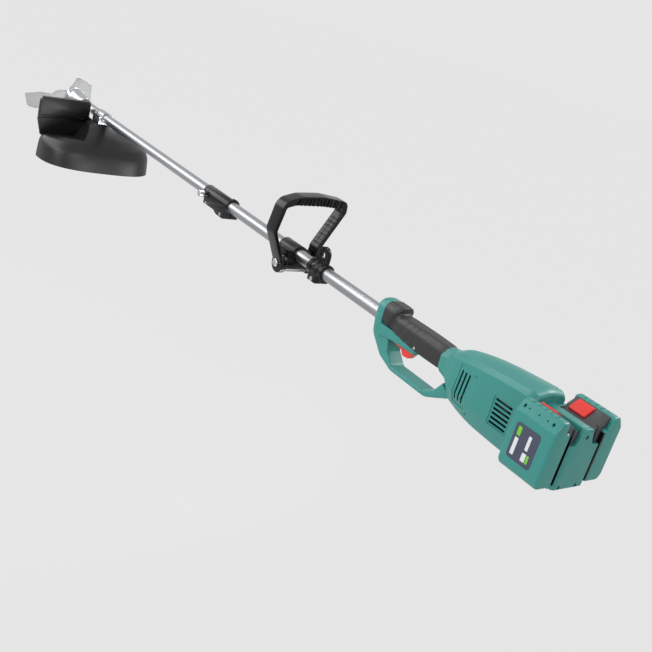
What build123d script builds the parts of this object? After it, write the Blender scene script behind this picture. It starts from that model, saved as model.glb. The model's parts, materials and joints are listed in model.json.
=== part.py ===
from build123d import *
import os
from math import atan2, cos, hypot, pi, radians, sin, tan

# Cordless trimmer with a three-tooth blade, in millimetres.
# X runs back along the boom from the blade to the batteries, Y points to the user's right, Z is up.
# The origin lies on the boom axis, in the middle of the bare tube in front of the rear handle.

# Fits and clearances
RUN_FIT = 0.05
SEAT_FIT = 0.02
SLIDE_GAP = 0.3
# Overshoot of a cut past the face that it goes through
CUT_MARGIN = 1.0

# Boom
TUBE_OD = 24.0
TUBE_WALL = 1.5
SHAFT_D = 8.0
BUSH_LENGTH = 20.0
BUSHES_PER_TUBE = 3
TUBE_R = TUBE_OD / 2
TUBE_BORE_R = TUBE_R - TUBE_WALL
SHAFT_R = SHAFT_D / 2
TUBE_SEAT_R = TUBE_R + SEAT_FIT

# Stations along the boom
GEAR_X = -1369.0
BRACKET_X = -1155.0
COUPLER_X = -493.0
HANDLE_X = -187.0
HANGER_X = -108.0
NOSE_X = 80.0

# Gear head: the spindle leans forward from square to the boom
HEAD_TILT = 38.0
GEAR_MODULE = 2.0
PINION_TEETH = 15
CROWN_TEETH = 20
GEAR_FACE = 7.0
TOOTH_ADDENDUM = 1.4
TOOTH_DEDENDUM = 2.0
TOOTH_BACKLASH = 0.55
PRESSURE_ANGLE = 20.0
GEAR_RIM = 3.0
SPINDLE_D = 12.0
SPINDLE_THREAD_D = 10.0
SPINDLE_BEARING_OD = 32.0
SPINDLE_BEARING_W = 10.0
PINION_BEARING_OD = 28.0
PINION_BEARING_W = 8.0
PINION_HUB_D = 12.0
CASE_R = 27.0
CASE_CAVITY_R = 22.5
CASE_TOP = 17.0
CROWN_BACK = 12.0
SOCKET_R = 17.5
SOCKET_START = 40.0
SOCKET_LENGTH = 44.0
CAP_THICKNESS = 4.0
EAR_WIDTH = 30.0
EAR_DEPTH = 26.0
EAR_SLIT = 2.5
EAR_START = 6.0
EAR_ROUND = 3.0
THROAT_INSET = 3.0
CAVITY_TOP = 2.0
GEAR_ROOM = 1.0
PINION_ROOM_START = 3.0
SLIT_START = 3.0
SOCKET_BOLT_DX = (14.0, 35.0)
CAP_INSET = 1.0
CAP_HOLE_GAP = 1.5
CAP_SCREWS = 4
CAP_SCREW_REACH = 8.0
CAP_SCREW_FLOOR = 1.0
CAP_SCREW_LENGTH = 8.5
SPINDLE_START = 4.0
SPINDLE_PROUD = 3.0
BEARING_SPACE = 0.5
BEARING_SPACER = 1.0
CROWN_HUB_WALL = 4.0
PINION_SHOULDER = 1.0
PINION_HUB_PROUD = 4.0
M5_D = 5.0
M5_HEAD_D = 8.5
M5_HEAD_H = 5.0
M4_D = 4.0
M4_HEAD_D = 7.0
M4_HEAD_H = 3.0

# Blade and its clamping
BLADE_D = 250.0
BLADE_T = 1.6
BLADE_BORE_D = 25.4
BLADE_DISC_D = 120.0
TOOTH_END_W = 46.0
TOOTH_ROOT_W = 74.0
TOOTH_SKEW = 6.0
TOOTH_FLAT = 32.0
TOOTH_NOSE = 8.0
TOOTH_HEEL = 48.0
BLADE_TEETH = 3
BLADE_PHASE = 31.0
BLADE_DEPTH = 45.0
FLANGE_D = 54.0
FLANGE_T = 6.0
CLAMP_PLATE_D = 48.0
CLAMP_PLATE_T = 4.0
NUT_ACROSS_FLATS = 17.0
NUT_H = 9.0

# Guard
GUARD_WALL = 3.0
GUARD_WIDTH = 300.0
GUARD_FRONT_X = -1192.0
GUARD_REAR_X = -1077.0
GUARD_BOTTOM_Z = -134.0
GUARD_STEP_Z = -72.0
GUARD_STEP_INSET = 7.0
GUARD_STEP_BACK = 10.0
GUARD_CORNER_R = 74.0
GUARD_STEP_CORNER_R = 90.0
NECK_WIDTH = 38.0
NECK_FRONT_X = -1180.0
NECK_REAR_X = -1133.0
NECK_TOP_Z = -16.0
NECK_ROUND_SHARE = 0.7
NOTCH_Z = -74.5
NOTCH_RISE = 21.0
NOTCH_MARGIN = 5.0
NOTCH_CORNER_Y = -60.0
NOTCH_TOP_Y = -15.0
NOTCH_TOP_Z = -7.0
FLAP_TOP_Z = 23.0
FLAP_BOTTOM_Z = -27.0
FLAP_INNER_Y = -17.0
FLAP_LENGTH = 146.0
FLAP_TURN = 11.0
FLAP_STEP = 8.0
FLAP_CORNER_R = 8.0
GROOVE_H = 8.0
GROOVE_FLOOR = 1.0
PANEL_BOTTOM_Z = -78.0
PANEL_TAPER = 14.0
PANEL_T = 4.0
RIB_BOTTOM_Z = -40.0
RIB_OVERLAP = 6.0

# Guard bracket
BRACKET_LENGTH = 44.0
BRACKET_R = 15.5
BRACKET_EAR_W = 41.0
BRACKET_EAR_H = 5.0
BRACKET_ROUND = 3.0
BRACKET_BOLT_Y = 16.5
BRACKET_BOLT_DX = 15.0

# Boom coupler
COUPLER_LENGTH = 104.0
COUPLER_R = 15.2
COUPLER_BLOCK_W = 35.0
COUPLER_FRONT_Z = -21.0
COUPLER_REAR_Z = -26.0
COUPLER_STEP_DX = 12.0
COUPLER_SLIT = 2.0
COUPLER_BLOCK_START = 12.0
COUPLER_BLOCK_DRAFT = 2.0
COUPLER_ROUND = 2.0
COUPLER_LUG_BACK = 4.0
COUPLER_LUG_RAMP = 10.0
COUPLER_LUG_ROUND = 1.0
COUPLER_SCREW_DX = (26.0, 90.0)
COUPLER_SCREW_DROP = 1.5
HEAD_PROUD = 1.0
HOOK_H = 2.5
HOOK_LENGTH = 6.0
KNOB_X = -525.0
KNOB_D = 14.0
KNOB_H = 12.0
KNOB_BOSS_D = 15.0
KNOB_BOSS_Y = 24.0
KNOB_BOSS_FACE = 2.0
KNOB_ROUND = 1.5
LOCK_PIN_D = 6.0
LOCK_PIN_REACH = 8.0
LOCK_PIN_IN_KNOB = 2.0
LOCK_COLLAR_D = 9.0
LOCK_COLLAR_T = 1.5
PIN_SPRING_WIRE = 0.7
PIN_SPRING_TURNS = 3

# Loop handle
LOOP_DEPTH = 28.0
LOOP_STRAP = 9.0
LOOP_BAR_H = 19.0
LOOP_TOP_Z = 117.0
LOOP_CROWN_Y = 20.0
LOOP_ANKLE_Z = 18.0
LOOP_LEAN = 4.0
LOOP_SHOULDER_DROP = 17.0
LOOP_BROW_Y = -30.0
LOOP_BROW_DROP = 4.0
LOOP_RIGHT_IN = 2.0
LOOP_RIGHT_DROP = 5.0
LOOP_ELBOW_DROP = 26.0
LOOP_ANKLE_OUT = 1.0
BAR_SHOULDER_DROP = 9.0
BAR_BROW_Y = -40.0
BAR_BROW_DROP = 3.0
BAR_RIGHT_IN = 6.0
BAR_RIGHT_DROP = 1.0
BAR_ELBOW_DROP = 8.0
LOOP_EDGE_ROUND = 2.5
LOOP_OUTER_ROUND = [4, 20, 24, 40, 60, 12, 12, 20, 4]
LOOP_INNER_ROUND = [1, 14, 8, 30, 50, 4, 4, 14, 1]
LOOP_LEFT_Y = -70.0
LOOP_RIGHT_Y = 77.0
LOOP_KNEE_Z = 42.0
EYE_R = 18.5
EYE_T = 12.0
EYE_Y = 34.0
PIVOT_Z = -20.0
PIVOT_BOLT_D = 8.0
PIVOT_HEAD_D = 15.0
PIVOT_HEAD_H = 6.0
PIVOT_HEAD_ROUND = 2.0
PIVOT_BOLT_TAIL = 8.0
KNUCKLE_R = 15.5
KNUCKLE_ROOM = 8.0
CLAMP_LENGTH = 50.0
CLAMP_AHEAD = 17.0
CLAMP_R = 17.0
CLAMP_EAR_W = 52.0
CLAMP_EAR_H = 7.0
CLAMP_SCREW_DX = (-36.0, -21.0)
CLAMP_SCREW_Y = 21.0
GRIP_RIBS = 11
GRIP_RIB_REACH = 13.0
GRIP_RIB_Y = 12.0
GRIP_RIB_PITCH = 8.0
GRIP_GROOVE_W = 3.6
GRIP_GROOVE_DEPTH = 2.5

# Harness clamp
HANGER_LENGTH = 43.0
HANGER_R = 16.5
HANGER_TAB_T = 8.0
HANGER_TAB_R = 16.0
HANGER_EYE_D = 14.0
HANGER_EYE_Z = 28.0
HANGER_LUG_W = 31.0
HANGER_LUG_L = 24.0
HANGER_LUG_Z = -22.5
HANGER_SLIT = 2.0
HANGER_LUG_ROUND = 1.0
HANGER_SCREW_Z = -17.4
BAND_GROOVE_W = 2.0
BAND_GROOVE_DEPTH = 1.2

# Rear handle
TUBE_END_X = 132.0
NOSE_HALF_W = 21.5
NOSE_TOP_Z = 34.0
NOSE_RING_X = 103.0
NOSE_DROP = 6.0
NOSE_OVERLAP = 2.0
NOSE_BROW_DX = 16.0
NOSE_BROW_DROP = 2.0
NOSE_FACE_DX = 2.0
NOSE_FACE_DROP = 22.0
NOSE_CHIN_DX = 6.0
NOSE_CHIN_Z = -10.0
NOSE_LINE_ROUND = [0, 9, 14, 12, 6, 0]
NOSE_RING_ROUND = [8, 8, 17, 17]
NOSE_BAR_ROUND = 14.0
NOSE_LOW_ROUND = 2.0
STRAP_W = 32.0
STRAP_BOTTOM_Z = -69.0
STRAP_T = 8.0
STRAP_TOP_DX = 8.0
STRAP_TOP_DROP = 14.0
STRAP_FACE_Z = -6.0
STRAP_CHIN_DX = 4.0
STRAP_KNEE_DX = 38.0
STRAP_KNEE_Z = -58.0
STRAP_TOE_DX = 70.0
STRAP_HEEL_DX = 14.0
STRAP_BACK_DX = 6.0
STRAP_BACK_RISE = 8.0
STRAP_ROOT_DX = 44.0
STRAP_ROOT_Z = -44.0
STRAP_INNER_DX = 30.0
STRAP_ROUND = [6, 10, 10, 20, 20, 14, 10, 4, 4, 4]
STRAP_EDGE_ROUND = 2.5
FINGER_FRONT_DX = 45.0
FINGER_TOP_DROP = 3.0
FINGER_KNEE_DX = 6.0
FINGER_KNEE_DROP = 20.0
FINGER_TOE_DX = 24.0
FINGER_HEEL_DX = 20.0
FINGER_BACK_DX = 3.0
FINGER_BACK_RISE = 12.0
FINGER_ROOT_DX = 2.0
FINGER_ROOF = 1.0
FINGER_STEP_DX = (2.0, 5.0)
FINGER_ROUND = [4, 4, 10, 8, 8, 4, 1, 3]
CORE_HALF_W = 17.0
CORE_TOP_Z = 20.0
CORE_BOTTOM_Z = -14.5
CORE_ROUND = 11.0
CORE_WALL = 2.5
SHROUD_HALF_W = 13.5
SHROUD_REAR_X = 192.0
SHROUD_BOTTOM_Z = -22.5
SHROUD_OVERLAP = 6.0
SHROUD_IN_CORE = 4.0
SHROUD_ROUND = [1, 5, 1, 1]
SHROUD_SEAT_ROUND = 1.0
CORE_IN_NOSE = 4.0
CORE_IN_HOUSING = 6.0
GRIP_WALL = 2.6
GRIP_REAR_X = 247.0
HOOD_REAR_X = 135.0
HOOD_WALL = 3.4
HOOD_LIP = 6.0
HOOD_ROUND = 4.0
SLEEVE_IN_HOOD = 12.0
GRIP_SCREW_X = 190.0
GRIP_SCREW_Z = -8.0
GRIP_SCREW_SINK = 1.0
GRIP_SCREW_HEAD_D = 5.0
GRIP_SCREW_HEAD_H = 1.5

# Trigger
TRIGGER_W = 12.0
TRIGGER_PIVOT_X = 135.0
TRIGGER_PIVOT_Z = -18.0
TRIGGER_PIN_D = 4.0
TRIGGER_PIN_HALF = SHROUD_HALF_W - 2.0
# Trigger outline around its pin: each corner's way back and up from the pin, and its rounding
TRIGGER_LINE = ((-10.0, -9.0), (16.0, -12.0), (22.0, -20.0), (36.0, -19.0),
                (44.0, -8.0), (44.0, 1.0), (4.0, 4.0), (-6.0, 2.0))
TRIGGER_ROUND = [2, 6, 4, 5, 3, 1, 1, 2]
TRIGGER_EDGE_ROUND = 1.0
SLOT_AHEAD = 14.0
SLOT_END_WALL = 3.0
SLOT_TOP_Z = -7.0
SWITCH_DX = 46.0
SWITCH_LENGTH = 22.0
SWITCH_H = 6.0
SWITCH_W = 13.0
LEAF_T = 0.6
LEAF_W = 6.0
LEAF_DX = 12.0
LEAF_LENGTH = 24.0
LEAF_FOOT_T = 1.0
LEAF_FOOT_RISE = 2.0

# Motor housing
HOUSING_WALL = 2.8
HOUSING_FRONT_X = 248.0
HOUSING_MID_X = 286.0
HOUSING_FULL_X = 350.0
HOUSING_REAR_X = 442.0
HOUSING_HALF_W = 37.0
HOUSING_TOP_Z = 57.0
HOUSING_SHOULDER_Z = 33.0
HOUSING_BOTTOM_Z = -60.0
# Each section: station, half width, top, half of the top flat, shoulder, bottom, half of the bottom flat
HOUSING_SECTIONS = (
    (HOUSING_FRONT_X, 21.0, 23.0, 10.0, 10.0, -20.5, 11.0),
    (HOUSING_MID_X, 32.0, 37.0, 13.0, 18.0, -47.0, 16.0),
    (HOUSING_FULL_X, HOUSING_HALF_W, 49.0, 15.0, 27.0, -57.0, 22.0),
    (HOUSING_REAR_X, HOUSING_HALF_W, HOUSING_TOP_Z, 17.0, HOUSING_SHOULDER_Z, HOUSING_BOTTOM_Z, 24.0),
)
HOUSING_ROUND = 6.0
HOUSING_ROUND_MIN = 2.0
HOUSING_DRAFT = 1.0
HOUSING_WAIST_SHARE = 0.45
# Screws between the housing halves: station and height
HOUSING_SCREWS = (
    (HOUSING_MID_X, 28.0),
    (HOUSING_MID_X + 4.0, -38.0),
    (HOUSING_REAR_X - 14.0, 46.0),
    (HOUSING_REAR_X - 14.0, -46.0),
)
HOUSING_SCREW_SHARE = 0.4
HOUSING_SCREW_REACH = 1.6
VENT_W = 3.2
VENT_CUT_OUT = 5.0
VENT_CUT_IN = 9.0
VENT_TALL_X = 309.0
VENT_TALL_PITCH = 6.5
VENT_TALL_COUNT = 3
VENT_TALL_Z0 = -31.0
VENT_TALL_Z1 = 16.0
VENT_LONG_X0 = 382.0
VENT_LONG_X1 = 414.0
VENT_LONG_Z = -24.0
VENT_LONG_PITCH = 8.7
VENT_LONG_COUNT = 5
BOSS_D = 9.0
BOSS_INSET = 0.5
SCREW_PILOT_D = 3.4

# Motor and drive
STATOR_D = 60.0
STATOR_BORE_D = 34.0
STATOR_LENGTH = 40.0
STATOR_X = 340.0
AIR_GAP = 0.5
MOTOR_SHAFT_D = 8.0
BRACKET_PLATE_T = 9.0
MOTOR_BEARING_OD = 22.0
MOTOR_BEARING_W = 7.0
FAN_D = 52.0
FAN_T = 8.0
FAN_HUB_D = 16.0
FAN_HUB_OVERLAP = 1.0
FAN_BLADES = 9
FAN_BLADE_T = 2.0
FAN_GAP = 3.0
FAN_SLEEVE_WALL = 1.5
FAN_WINDOWS = 6
FAN_WINDOW_W = 12.0
FAN_WINDOW_EDGE = 2.0
ROTOR_INSET = 1.0
BRACKET_HOLE_GAP = 1.5
COUPLING_D = 18.0
COUPLING_LENGTH = 26.0
COUPLING_SPACE = 3.0
RIB_SPACE = 10.0
SHAFT_END_INSET = 1.0
RIB_T = 5.0
SHAFT_HOLE_GAP = 1.0
BOARD_LENGTH = 84.0
BOARD_W = 40.0
BOARD_T = 1.6
BOARD_Z = 34.5
BOARD_INSET = 2.0
HEATSINK_H = 5.0
HEATSINK_W = 26.0
HEATSINK_START = 8.0
HEATSINK_END = 20.0

# Battery dock and packs
REAR_X = 512.5
DOCK_HALF_W = 33.5
DOCK_WALL = 5.0
DOCK_SPINE_HALF_W = 8.5
DOCK_BOTTOM_Z = -55.0
DOCK_SPINE_TOP_Z = 36.0
DOCK_NECK_HALF_W = 17.0
DOCK_SHELF_Z = 12.0
DOCK_ROUND = 2.0
GUIDE_TOP_Z = 4.0
COVER_SCREW_Z = 24.0
COVER_SCREW_Y = 18.0
COVER_SCREW_RISE = 2.5
COVER_T = 6.0
COVER_ROUND = 3.0
COVER_NECK_ROUND = [0, 0, 2, 2, 2, 2]
COVER_SCREW_REACH = 12.0
COVER_SCREW_SHORT = 1.0
COVER_SINK = 3.0
COVER_HEAD_D = 6.0
COVER_HEAD_RECESS = 1.0
GUIDE_OVERLAP = 1.0
GUIDE_W = 5.0
GUIDE_DEPTH = 3.0
GUIDE_Y = 25.0
TERMINAL_Y = 15.0
PACK_INNER_Y = 36.5
PACK_OUTER_Y = 71.0
PACK_BOTTOM_Z = -50.0
RAIL_BOTTOM_Z = -49.0
PACK_SIDE_TOP_Z = 34.0
PACK_TOP_Z = 49.0
PACK_TOP_OUTER_Y = 61.0
PACK_LEDGE_Y = 46.0
PACK_LEDGE_Z = 31.5
PACK_WALL = 2.2
PACK_ROUND = 4.0
PACK_FOOT = 4.0
# How far the bevel's two ends follow the wall, as shares of its thickness
BEVEL_LOW_SHARE = 0.4
BEVEL_HIGH_SHARE = 0.5
PACK_LINE_ROUND = [1, 3, 3, 3, 4, 1, 0, 0]
PACK_INNER_ROUND = 1.0
RAIL_LOW_Z = 26.0
RAIL_HIGH_Z = 48.5
RAIL_LINE_ROUND = [1, 1, 2, 1, 0, 0]
BUTTON_LENGTH = 28.0
BUTTON_W = 22.0
BUTTON_T = 6.0
BUTTON_PROUD = 3.0
BUTTON_ROUND = 2.0
BUTTON_EDGE_ROUND = 1.0
BUTTON_TRAVEL = 2.5
BUTTON_X = 469.0
BUTTON_Y = 32.2
CELL_D = 18.3
CELL_LENGTH = 65.0
CELL_COUNT = 4
CELL_SIDE_GAP = 1.5
TERMINAL_W = 6.0
TERMINAL_T = 1.2
TERMINAL_H = 18.0
TERMINAL_LENGTH = 12.0
TERMINAL_ROOT = 2.0
TERMINAL_RISE = 9.0


def block(x0, x1, y0, y1, z0, z1):
    """Box between two opposite corners."""
    centre = Pos((x0 + x1) / 2, (y0 + y1) / 2, (z0 + z1) / 2)
    return centre * Box(x1 - x0, y1 - y0, z1 - z0)


def rod_x(radius, x0, x1, y=0.0, z=0.0):
    """Round bar along X."""
    return Pos((x0 + x1) / 2, y, z) * Rot(0, 90, 0) * Cylinder(radius, x1 - x0)


def rod_y(radius, y0, y1, x=0.0, z=0.0):
    """Round bar along Y."""
    return Pos(x, (y0 + y1) / 2, z) * Rot(90, 0, 0) * Cylinder(radius, y1 - y0)


def rod_z(radius, z0, z1, x=0.0, y=0.0):
    """Round bar along Z."""
    return Pos(x, y, (z0 + z1) / 2) * Cylinder(radius, z1 - z0)


def ring_x(outer, inner, x0, x1):
    """Ring about the boom axis."""
    return rod_x(outer, x0, x1) - rod_x(inner, x0, x1)


def plate_xz(points, radius, half_width, y=0.0):
    """Plate with a rounded outline in XZ, as thick as twice the half width."""
    outline = FilletPolyline(*points, radius=radius, close=True)
    return Pos(0, y, 0) * extrude(Plane.XZ * make_face(outline), amount=half_width, both=True)


def plate_yz(points, radius, x0, x1):
    """Plate with a rounded outline in YZ, between two stations along X."""
    outline = FilletPolyline(*points, radius=radius, close=True)
    return Pos(x0, 0, 0) * extrude(Plane.YZ * make_face(outline), amount=x1 - x0)


def mirrored(solid):
    """The same piece on the other side of the boom."""
    return mirror(solid, about=Plane.XZ)


def group(solids):
    """Separate solids that share one node."""
    return Compound(children=[piece.solid() for piece in solids])


def cap_screw_z(x, y, z_head, length, shank_d, head_d, head_h, up=1):
    """Cap screw along Z: the head seats at z_head and the shank points up or down."""
    tip = z_head + up * length
    back = z_head - up * head_h
    shank = rod_z(shank_d / 2, min(z_head, tip), max(z_head, tip), x, y)
    head = rod_z(head_d / 2, min(z_head, back), max(z_head, back), x, y)
    return shank + head


def cap_screw_y(x, z, y_head, length, shank_d, head_d, head_h, toward=1):
    """Cap screw along Y: the head seats at y_head and the shank points toward +Y or -Y."""
    tip = y_head + toward * length
    back = y_head - toward * head_h
    shank = rod_y(shank_d / 2, min(y_head, tip), max(y_head, tip), x, z)
    head = rod_y(head_d / 2, min(y_head, back), max(y_head, back), x, z)
    return shank + head


# Gear geometry: both pitch cones share their apex, where the shaft and the spindle axes cross
SHAFT_ANGLE = radians(90.0 + HEAD_TILT)
PINION_CONE = atan2(sin(SHAFT_ANGLE), CROWN_TEETH / PINION_TEETH + cos(SHAFT_ANGLE))
CROWN_CONE = SHAFT_ANGLE - PINION_CONE
CONE_DISTANCE = GEAR_MODULE * PINION_TEETH / 2 / sin(PINION_CONE)
TILT_SIN = sin(radians(HEAD_TILT))
TILT_COS = cos(radians(HEAD_TILT))
APEX = (GEAR_X, 0, 0)
# Head frame: x to the front of the blade, y to the right, z along the spindle towards the blade
HEAD = Plane(origin=APEX, x_dir=(-TILT_COS, 0, TILT_SIN), z_dir=(-TILT_SIN, 0, -TILT_COS)).location
CROWN_FRAME = Plane(origin=APEX, x_dir=(TILT_COS, 0, -TILT_SIN), z_dir=(-TILT_SIN, 0, -TILT_COS)).location
PINION_FRAME = Plane(origin=APEX, x_dir=(0, 0, -1), z_dir=(1, 0, 0)).location

BEARING_1 = CROWN_BACK + BEARING_SPACE
BEARING_2 = BEARING_1 + SPINDLE_BEARING_W + BEARING_SPACER
CASE_END = BEARING_2 + SPINDLE_BEARING_W
FLANGE_TOP = BLADE_DEPTH - FLANGE_T
BLADE_END = BLADE_DEPTH + BLADE_T
PLATE_END = BLADE_END + CLAMP_PLATE_T
SPINDLE_END = PLATE_END + NUT_H + SPINDLE_PROUD
PINION_HUB_START = CONE_DISTANCE * cos(PINION_CONE) + TOOTH_DEDENDUM * sin(PINION_CONE) + GEAR_RIM
PINION_BEARING_X = GEAR_X + PINION_HUB_START + PINION_SHOULDER
PINION_HUB_END = PINION_HUB_START + PINION_BEARING_W + PINION_HUB_PROUD
SHAFT_FRONT_X = GEAR_X + PINION_HUB_START
SOCKET_X = GEAR_X + SOCKET_START
SOCKET_END_X = SOCKET_X + SOCKET_LENGTH


def tooth(cone, scale):
    """Corners of one end of a bevel tooth: scale 1 is the large end, less is nearer the apex."""
    half_pitch = (pi * GEAR_MODULE / 2 - TOOTH_BACKLASH / 2) / 2
    slope = tan(radians(PRESSURE_ANGLE))
    root = -TOOTH_DEDENDUM - GEAR_RIM / 4
    corners = []
    for height, side in ((root, 1), (root, -1), (TOOTH_ADDENDUM, -1), (TOOTH_ADDENDUM, 1)):
        reach = CONE_DISTANCE * sin(cone) + height * cos(cone)
        along = CONE_DISTANCE * cos(cone) - height * sin(cone)
        half = half_pitch - height * slope
        corners.append((scale * reach, scale * side * half, scale * along))
    return make_face(Polyline(*corners, close=True))


def bevel_gear(teeth, cone, hub_r, hub_end, bore_r, first_tooth):
    """Straight bevel gear with its apex at the origin and its axis on +Z."""
    inner = (CONE_DISTANCE - GEAR_FACE) / CONE_DISTANCE
    root_r = CONE_DISTANCE * sin(cone) - TOOTH_DEDENDUM * cos(cone)
    root_z = CONE_DISTANCE * cos(cone) + TOOTH_DEDENDUM * sin(cone)
    rim_z = root_z + GEAR_RIM
    section = Polyline(
        (0, 0, inner * root_z), (inner * root_r, 0, inner * root_z), (root_r, 0, root_z),
        (root_r, 0, rim_z), (hub_r, 0, rim_z), (hub_r, 0, hub_end), (0, 0, hub_end), close=True)
    gear = revolve(make_face(section), axis=Axis.Z)
    one_tooth = loft([tooth(cone, inner), tooth(cone, 1.0)], ruled=True)
    for index in range(teeth):
        gear += Rot(0, 0, first_tooth + 360.0 * index / teeth) * one_tooth
    return gear - rod_z(bore_r, -CONE_DISTANCE, hub_end + GEAR_FACE)


def gear_head():
    """Gear case, cap, gears, spindle and bearings."""
    nodes = {}
    case = rod_z(CASE_R, -CASE_TOP, CASE_END)
    case = fillet(case.edges().group_by(Axis.Z)[0], CASE_TOP / 2)
    socket = rod_x(SOCKET_R, SOCKET_X, SOCKET_END_X)
    throat = Rot(0, 90, 0) * Cone(CASE_R - THROAT_INSET, SOCKET_R, SOCKET_START)
    throat = Pos((GEAR_X + SOCKET_X) / 2, 0, 0) * throat
    ears = block(SOCKET_X + EAR_START, SOCKET_END_X, -EAR_WIDTH / 2, EAR_WIDTH / 2, -EAR_DEPTH, 0)
    body = HEAD * case + throat + socket + fillet(ears.edges().filter_by(Axis.Y), EAR_ROUND)
    cavity = rod_z(CASE_CAVITY_R, -CAVITY_TOP, BEARING_1)
    seat = rod_z(SPINDLE_BEARING_OD / 2 + SEAT_FIT, BEARING_1, CASE_END)
    pinion_tip = CONE_DISTANCE * sin(PINION_CONE) + TOOTH_ADDENDUM * cos(PINION_CONE)
    pinion_room = rod_x(pinion_tip + GEAR_ROOM, GEAR_X + PINION_ROOM_START, PINION_BEARING_X)
    bearing_end = PINION_BEARING_X + PINION_BEARING_W
    bearing_seat = rod_x(PINION_BEARING_OD / 2 + SEAT_FIT, PINION_BEARING_X, bearing_end)
    passage = rod_x(TUBE_BORE_R, bearing_end, SOCKET_X)
    bore = rod_x(TUBE_SEAT_R, SOCKET_X, SOCKET_END_X)
    slit = block(SOCKET_X + SLIT_START, SOCKET_END_X, -EAR_SLIT / 2, EAR_SLIT / 2, -EAR_DEPTH, 0)
    body = body - HEAD * cavity - HEAD * seat - pinion_room - bearing_seat - passage - bore - slit
    bolts = []
    bolt_z = -TUBE_R - (EAR_DEPTH - TUBE_R) / 2
    for bolt_dx in SOCKET_BOLT_DX:
        bolt_x = SOCKET_X + bolt_dx
        body -= rod_y(M5_D / 2 + SEAT_FIT, -EAR_WIDTH, EAR_WIDTH, bolt_x, bolt_z)
        bolts.append(cap_screw_y(bolt_x, bolt_z, -EAR_WIDTH / 2, EAR_WIDTH, M5_D, M5_HEAD_D, M5_HEAD_H))
    cap = rod_z(CASE_R - CAP_INSET, CASE_END, CASE_END + CAP_THICKNESS)
    cap -= rod_z(SPINDLE_D / 2 + CAP_HOLE_GAP, CASE_END, CASE_END + CAP_THICKNESS)
    screw_circle = (CASE_R + SPINDLE_BEARING_OD / 2) / 2
    sink_z = CASE_END + CAP_SCREW_FLOOR
    cap_head_h = CAP_THICKNESS - CAP_SCREW_FLOOR
    for index in range(CAP_SCREWS):
        angle = 360.0 * (index + 0.5) / CAP_SCREWS
        sx = screw_circle * cos(radians(angle))
        sy = screw_circle * sin(radians(angle))
        hole = rod_z(M4_D / 2 + SEAT_FIT, CASE_END - CAP_SCREW_REACH, CASE_END + CAP_THICKNESS, sx, sy)
        sink = rod_z(M4_HEAD_D / 2 + SEAT_FIT, sink_z, CASE_END + CAP_THICKNESS, sx, sy)
        body -= HEAD * hole
        cap -= hole + sink
        screw = cap_screw_z(sx, sy, sink_z, CAP_SCREW_LENGTH, M4_D, M4_HEAD_D, cap_head_h, -1)
        bolts.append(HEAD * screw)
    nodes["gearcase"] = body
    nodes["gearcase_cap"] = HEAD * cap
    nodes["gearcase_bolts"] = group(bolts)
    spindle = rod_z(SPINDLE_D / 2, SPINDLE_START, PLATE_END)
    spindle += rod_z(SPINDLE_THREAD_D / 2, PLATE_END, SPINDLE_END)
    nodes["output_spindle"] = HEAD * spindle
    ring = rod_z(SPINDLE_BEARING_OD / 2, 0, SPINDLE_BEARING_W)
    ring -= rod_z(SPINDLE_D / 2 + RUN_FIT, 0, SPINDLE_BEARING_W)
    nodes["spindle_bearings"] = group([HEAD * Pos(0, 0, start) * ring for start in (BEARING_1, BEARING_2)])
    nodes["pinion_bearing"] = ring_x(
        PINION_BEARING_OD / 2, PINION_HUB_D / 2 + RUN_FIT, PINION_BEARING_X, bearing_end)
    nodes["crown_gear"] = CROWN_FRAME * bevel_gear(
        CROWN_TEETH, CROWN_CONE, SPINDLE_D / 2 + CROWN_HUB_WALL, CROWN_BACK, SPINDLE_D / 2 + SEAT_FIT,
        180.0 / CROWN_TEETH)
    nodes["pinion_gear"] = PINION_FRAME * bevel_gear(
        PINION_TEETH, PINION_CONE, PINION_HUB_D / 2, PINION_HUB_END, SHAFT_R + SEAT_FIT, 0.0)
    return nodes


def blade_outline():
    """Three-tooth blade: a disc with three tapered arms."""
    sketch = Circle(BLADE_DISC_D / 2)
    reach = BLADE_D / 2
    root = BLADE_DISC_D / 4
    end = TOOTH_END_W / 2
    heel = TOOTH_ROOT_W / 2
    arm = make_face(Polyline(
        (root, -heel + TOOTH_SKEW), (reach - TOOTH_FLAT, -end), (reach - TOOTH_NOSE, -end),
        (reach, -end + TOOTH_NOSE), (reach, end), (reach - TOOTH_HEEL, heel), (root, heel), close=True))
    for index in range(BLADE_TEETH):
        sketch += Rot(0, 0, BLADE_PHASE + 360.0 * index / BLADE_TEETH) * arm
    return sketch - Circle(BLADE_BORE_D / 2)


def cutter():
    """Blade with the flange, plate and nut that hold it on the spindle."""
    nodes = {}
    nodes["blade"] = HEAD * Pos(0, 0, BLADE_DEPTH) * extrude(blade_outline(), amount=BLADE_T)
    boss_r = BLADE_BORE_D / 2 - SEAT_FIT
    flange = rod_z(FLANGE_D / 2, FLANGE_TOP, BLADE_DEPTH) + rod_z(boss_r, BLADE_DEPTH, BLADE_END)
    nodes["blade_flange"] = HEAD * (flange - rod_z(SPINDLE_D / 2 + SEAT_FIT, FLANGE_TOP, BLADE_END))
    plate = rod_z(CLAMP_PLATE_D / 2, BLADE_END, PLATE_END)
    plate = chamfer(plate.edges().group_by(Axis.Z)[-1], CLAMP_PLATE_T / 3)
    nodes["blade_clamp_plate"] = HEAD * (plate - rod_z(SPINDLE_D / 2 + SEAT_FIT, BLADE_END, PLATE_END))
    nut = extrude(RegularPolygon(NUT_ACROSS_FLATS / 2, 6, major_radius=False), amount=NUT_H)
    nut = Pos(0, 0, PLATE_END) * (nut - rod_z(SPINDLE_THREAD_D / 2 + SEAT_FIT, 0, NUT_H))
    nodes["blade_nut"] = HEAD * nut
    return nodes


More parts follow.
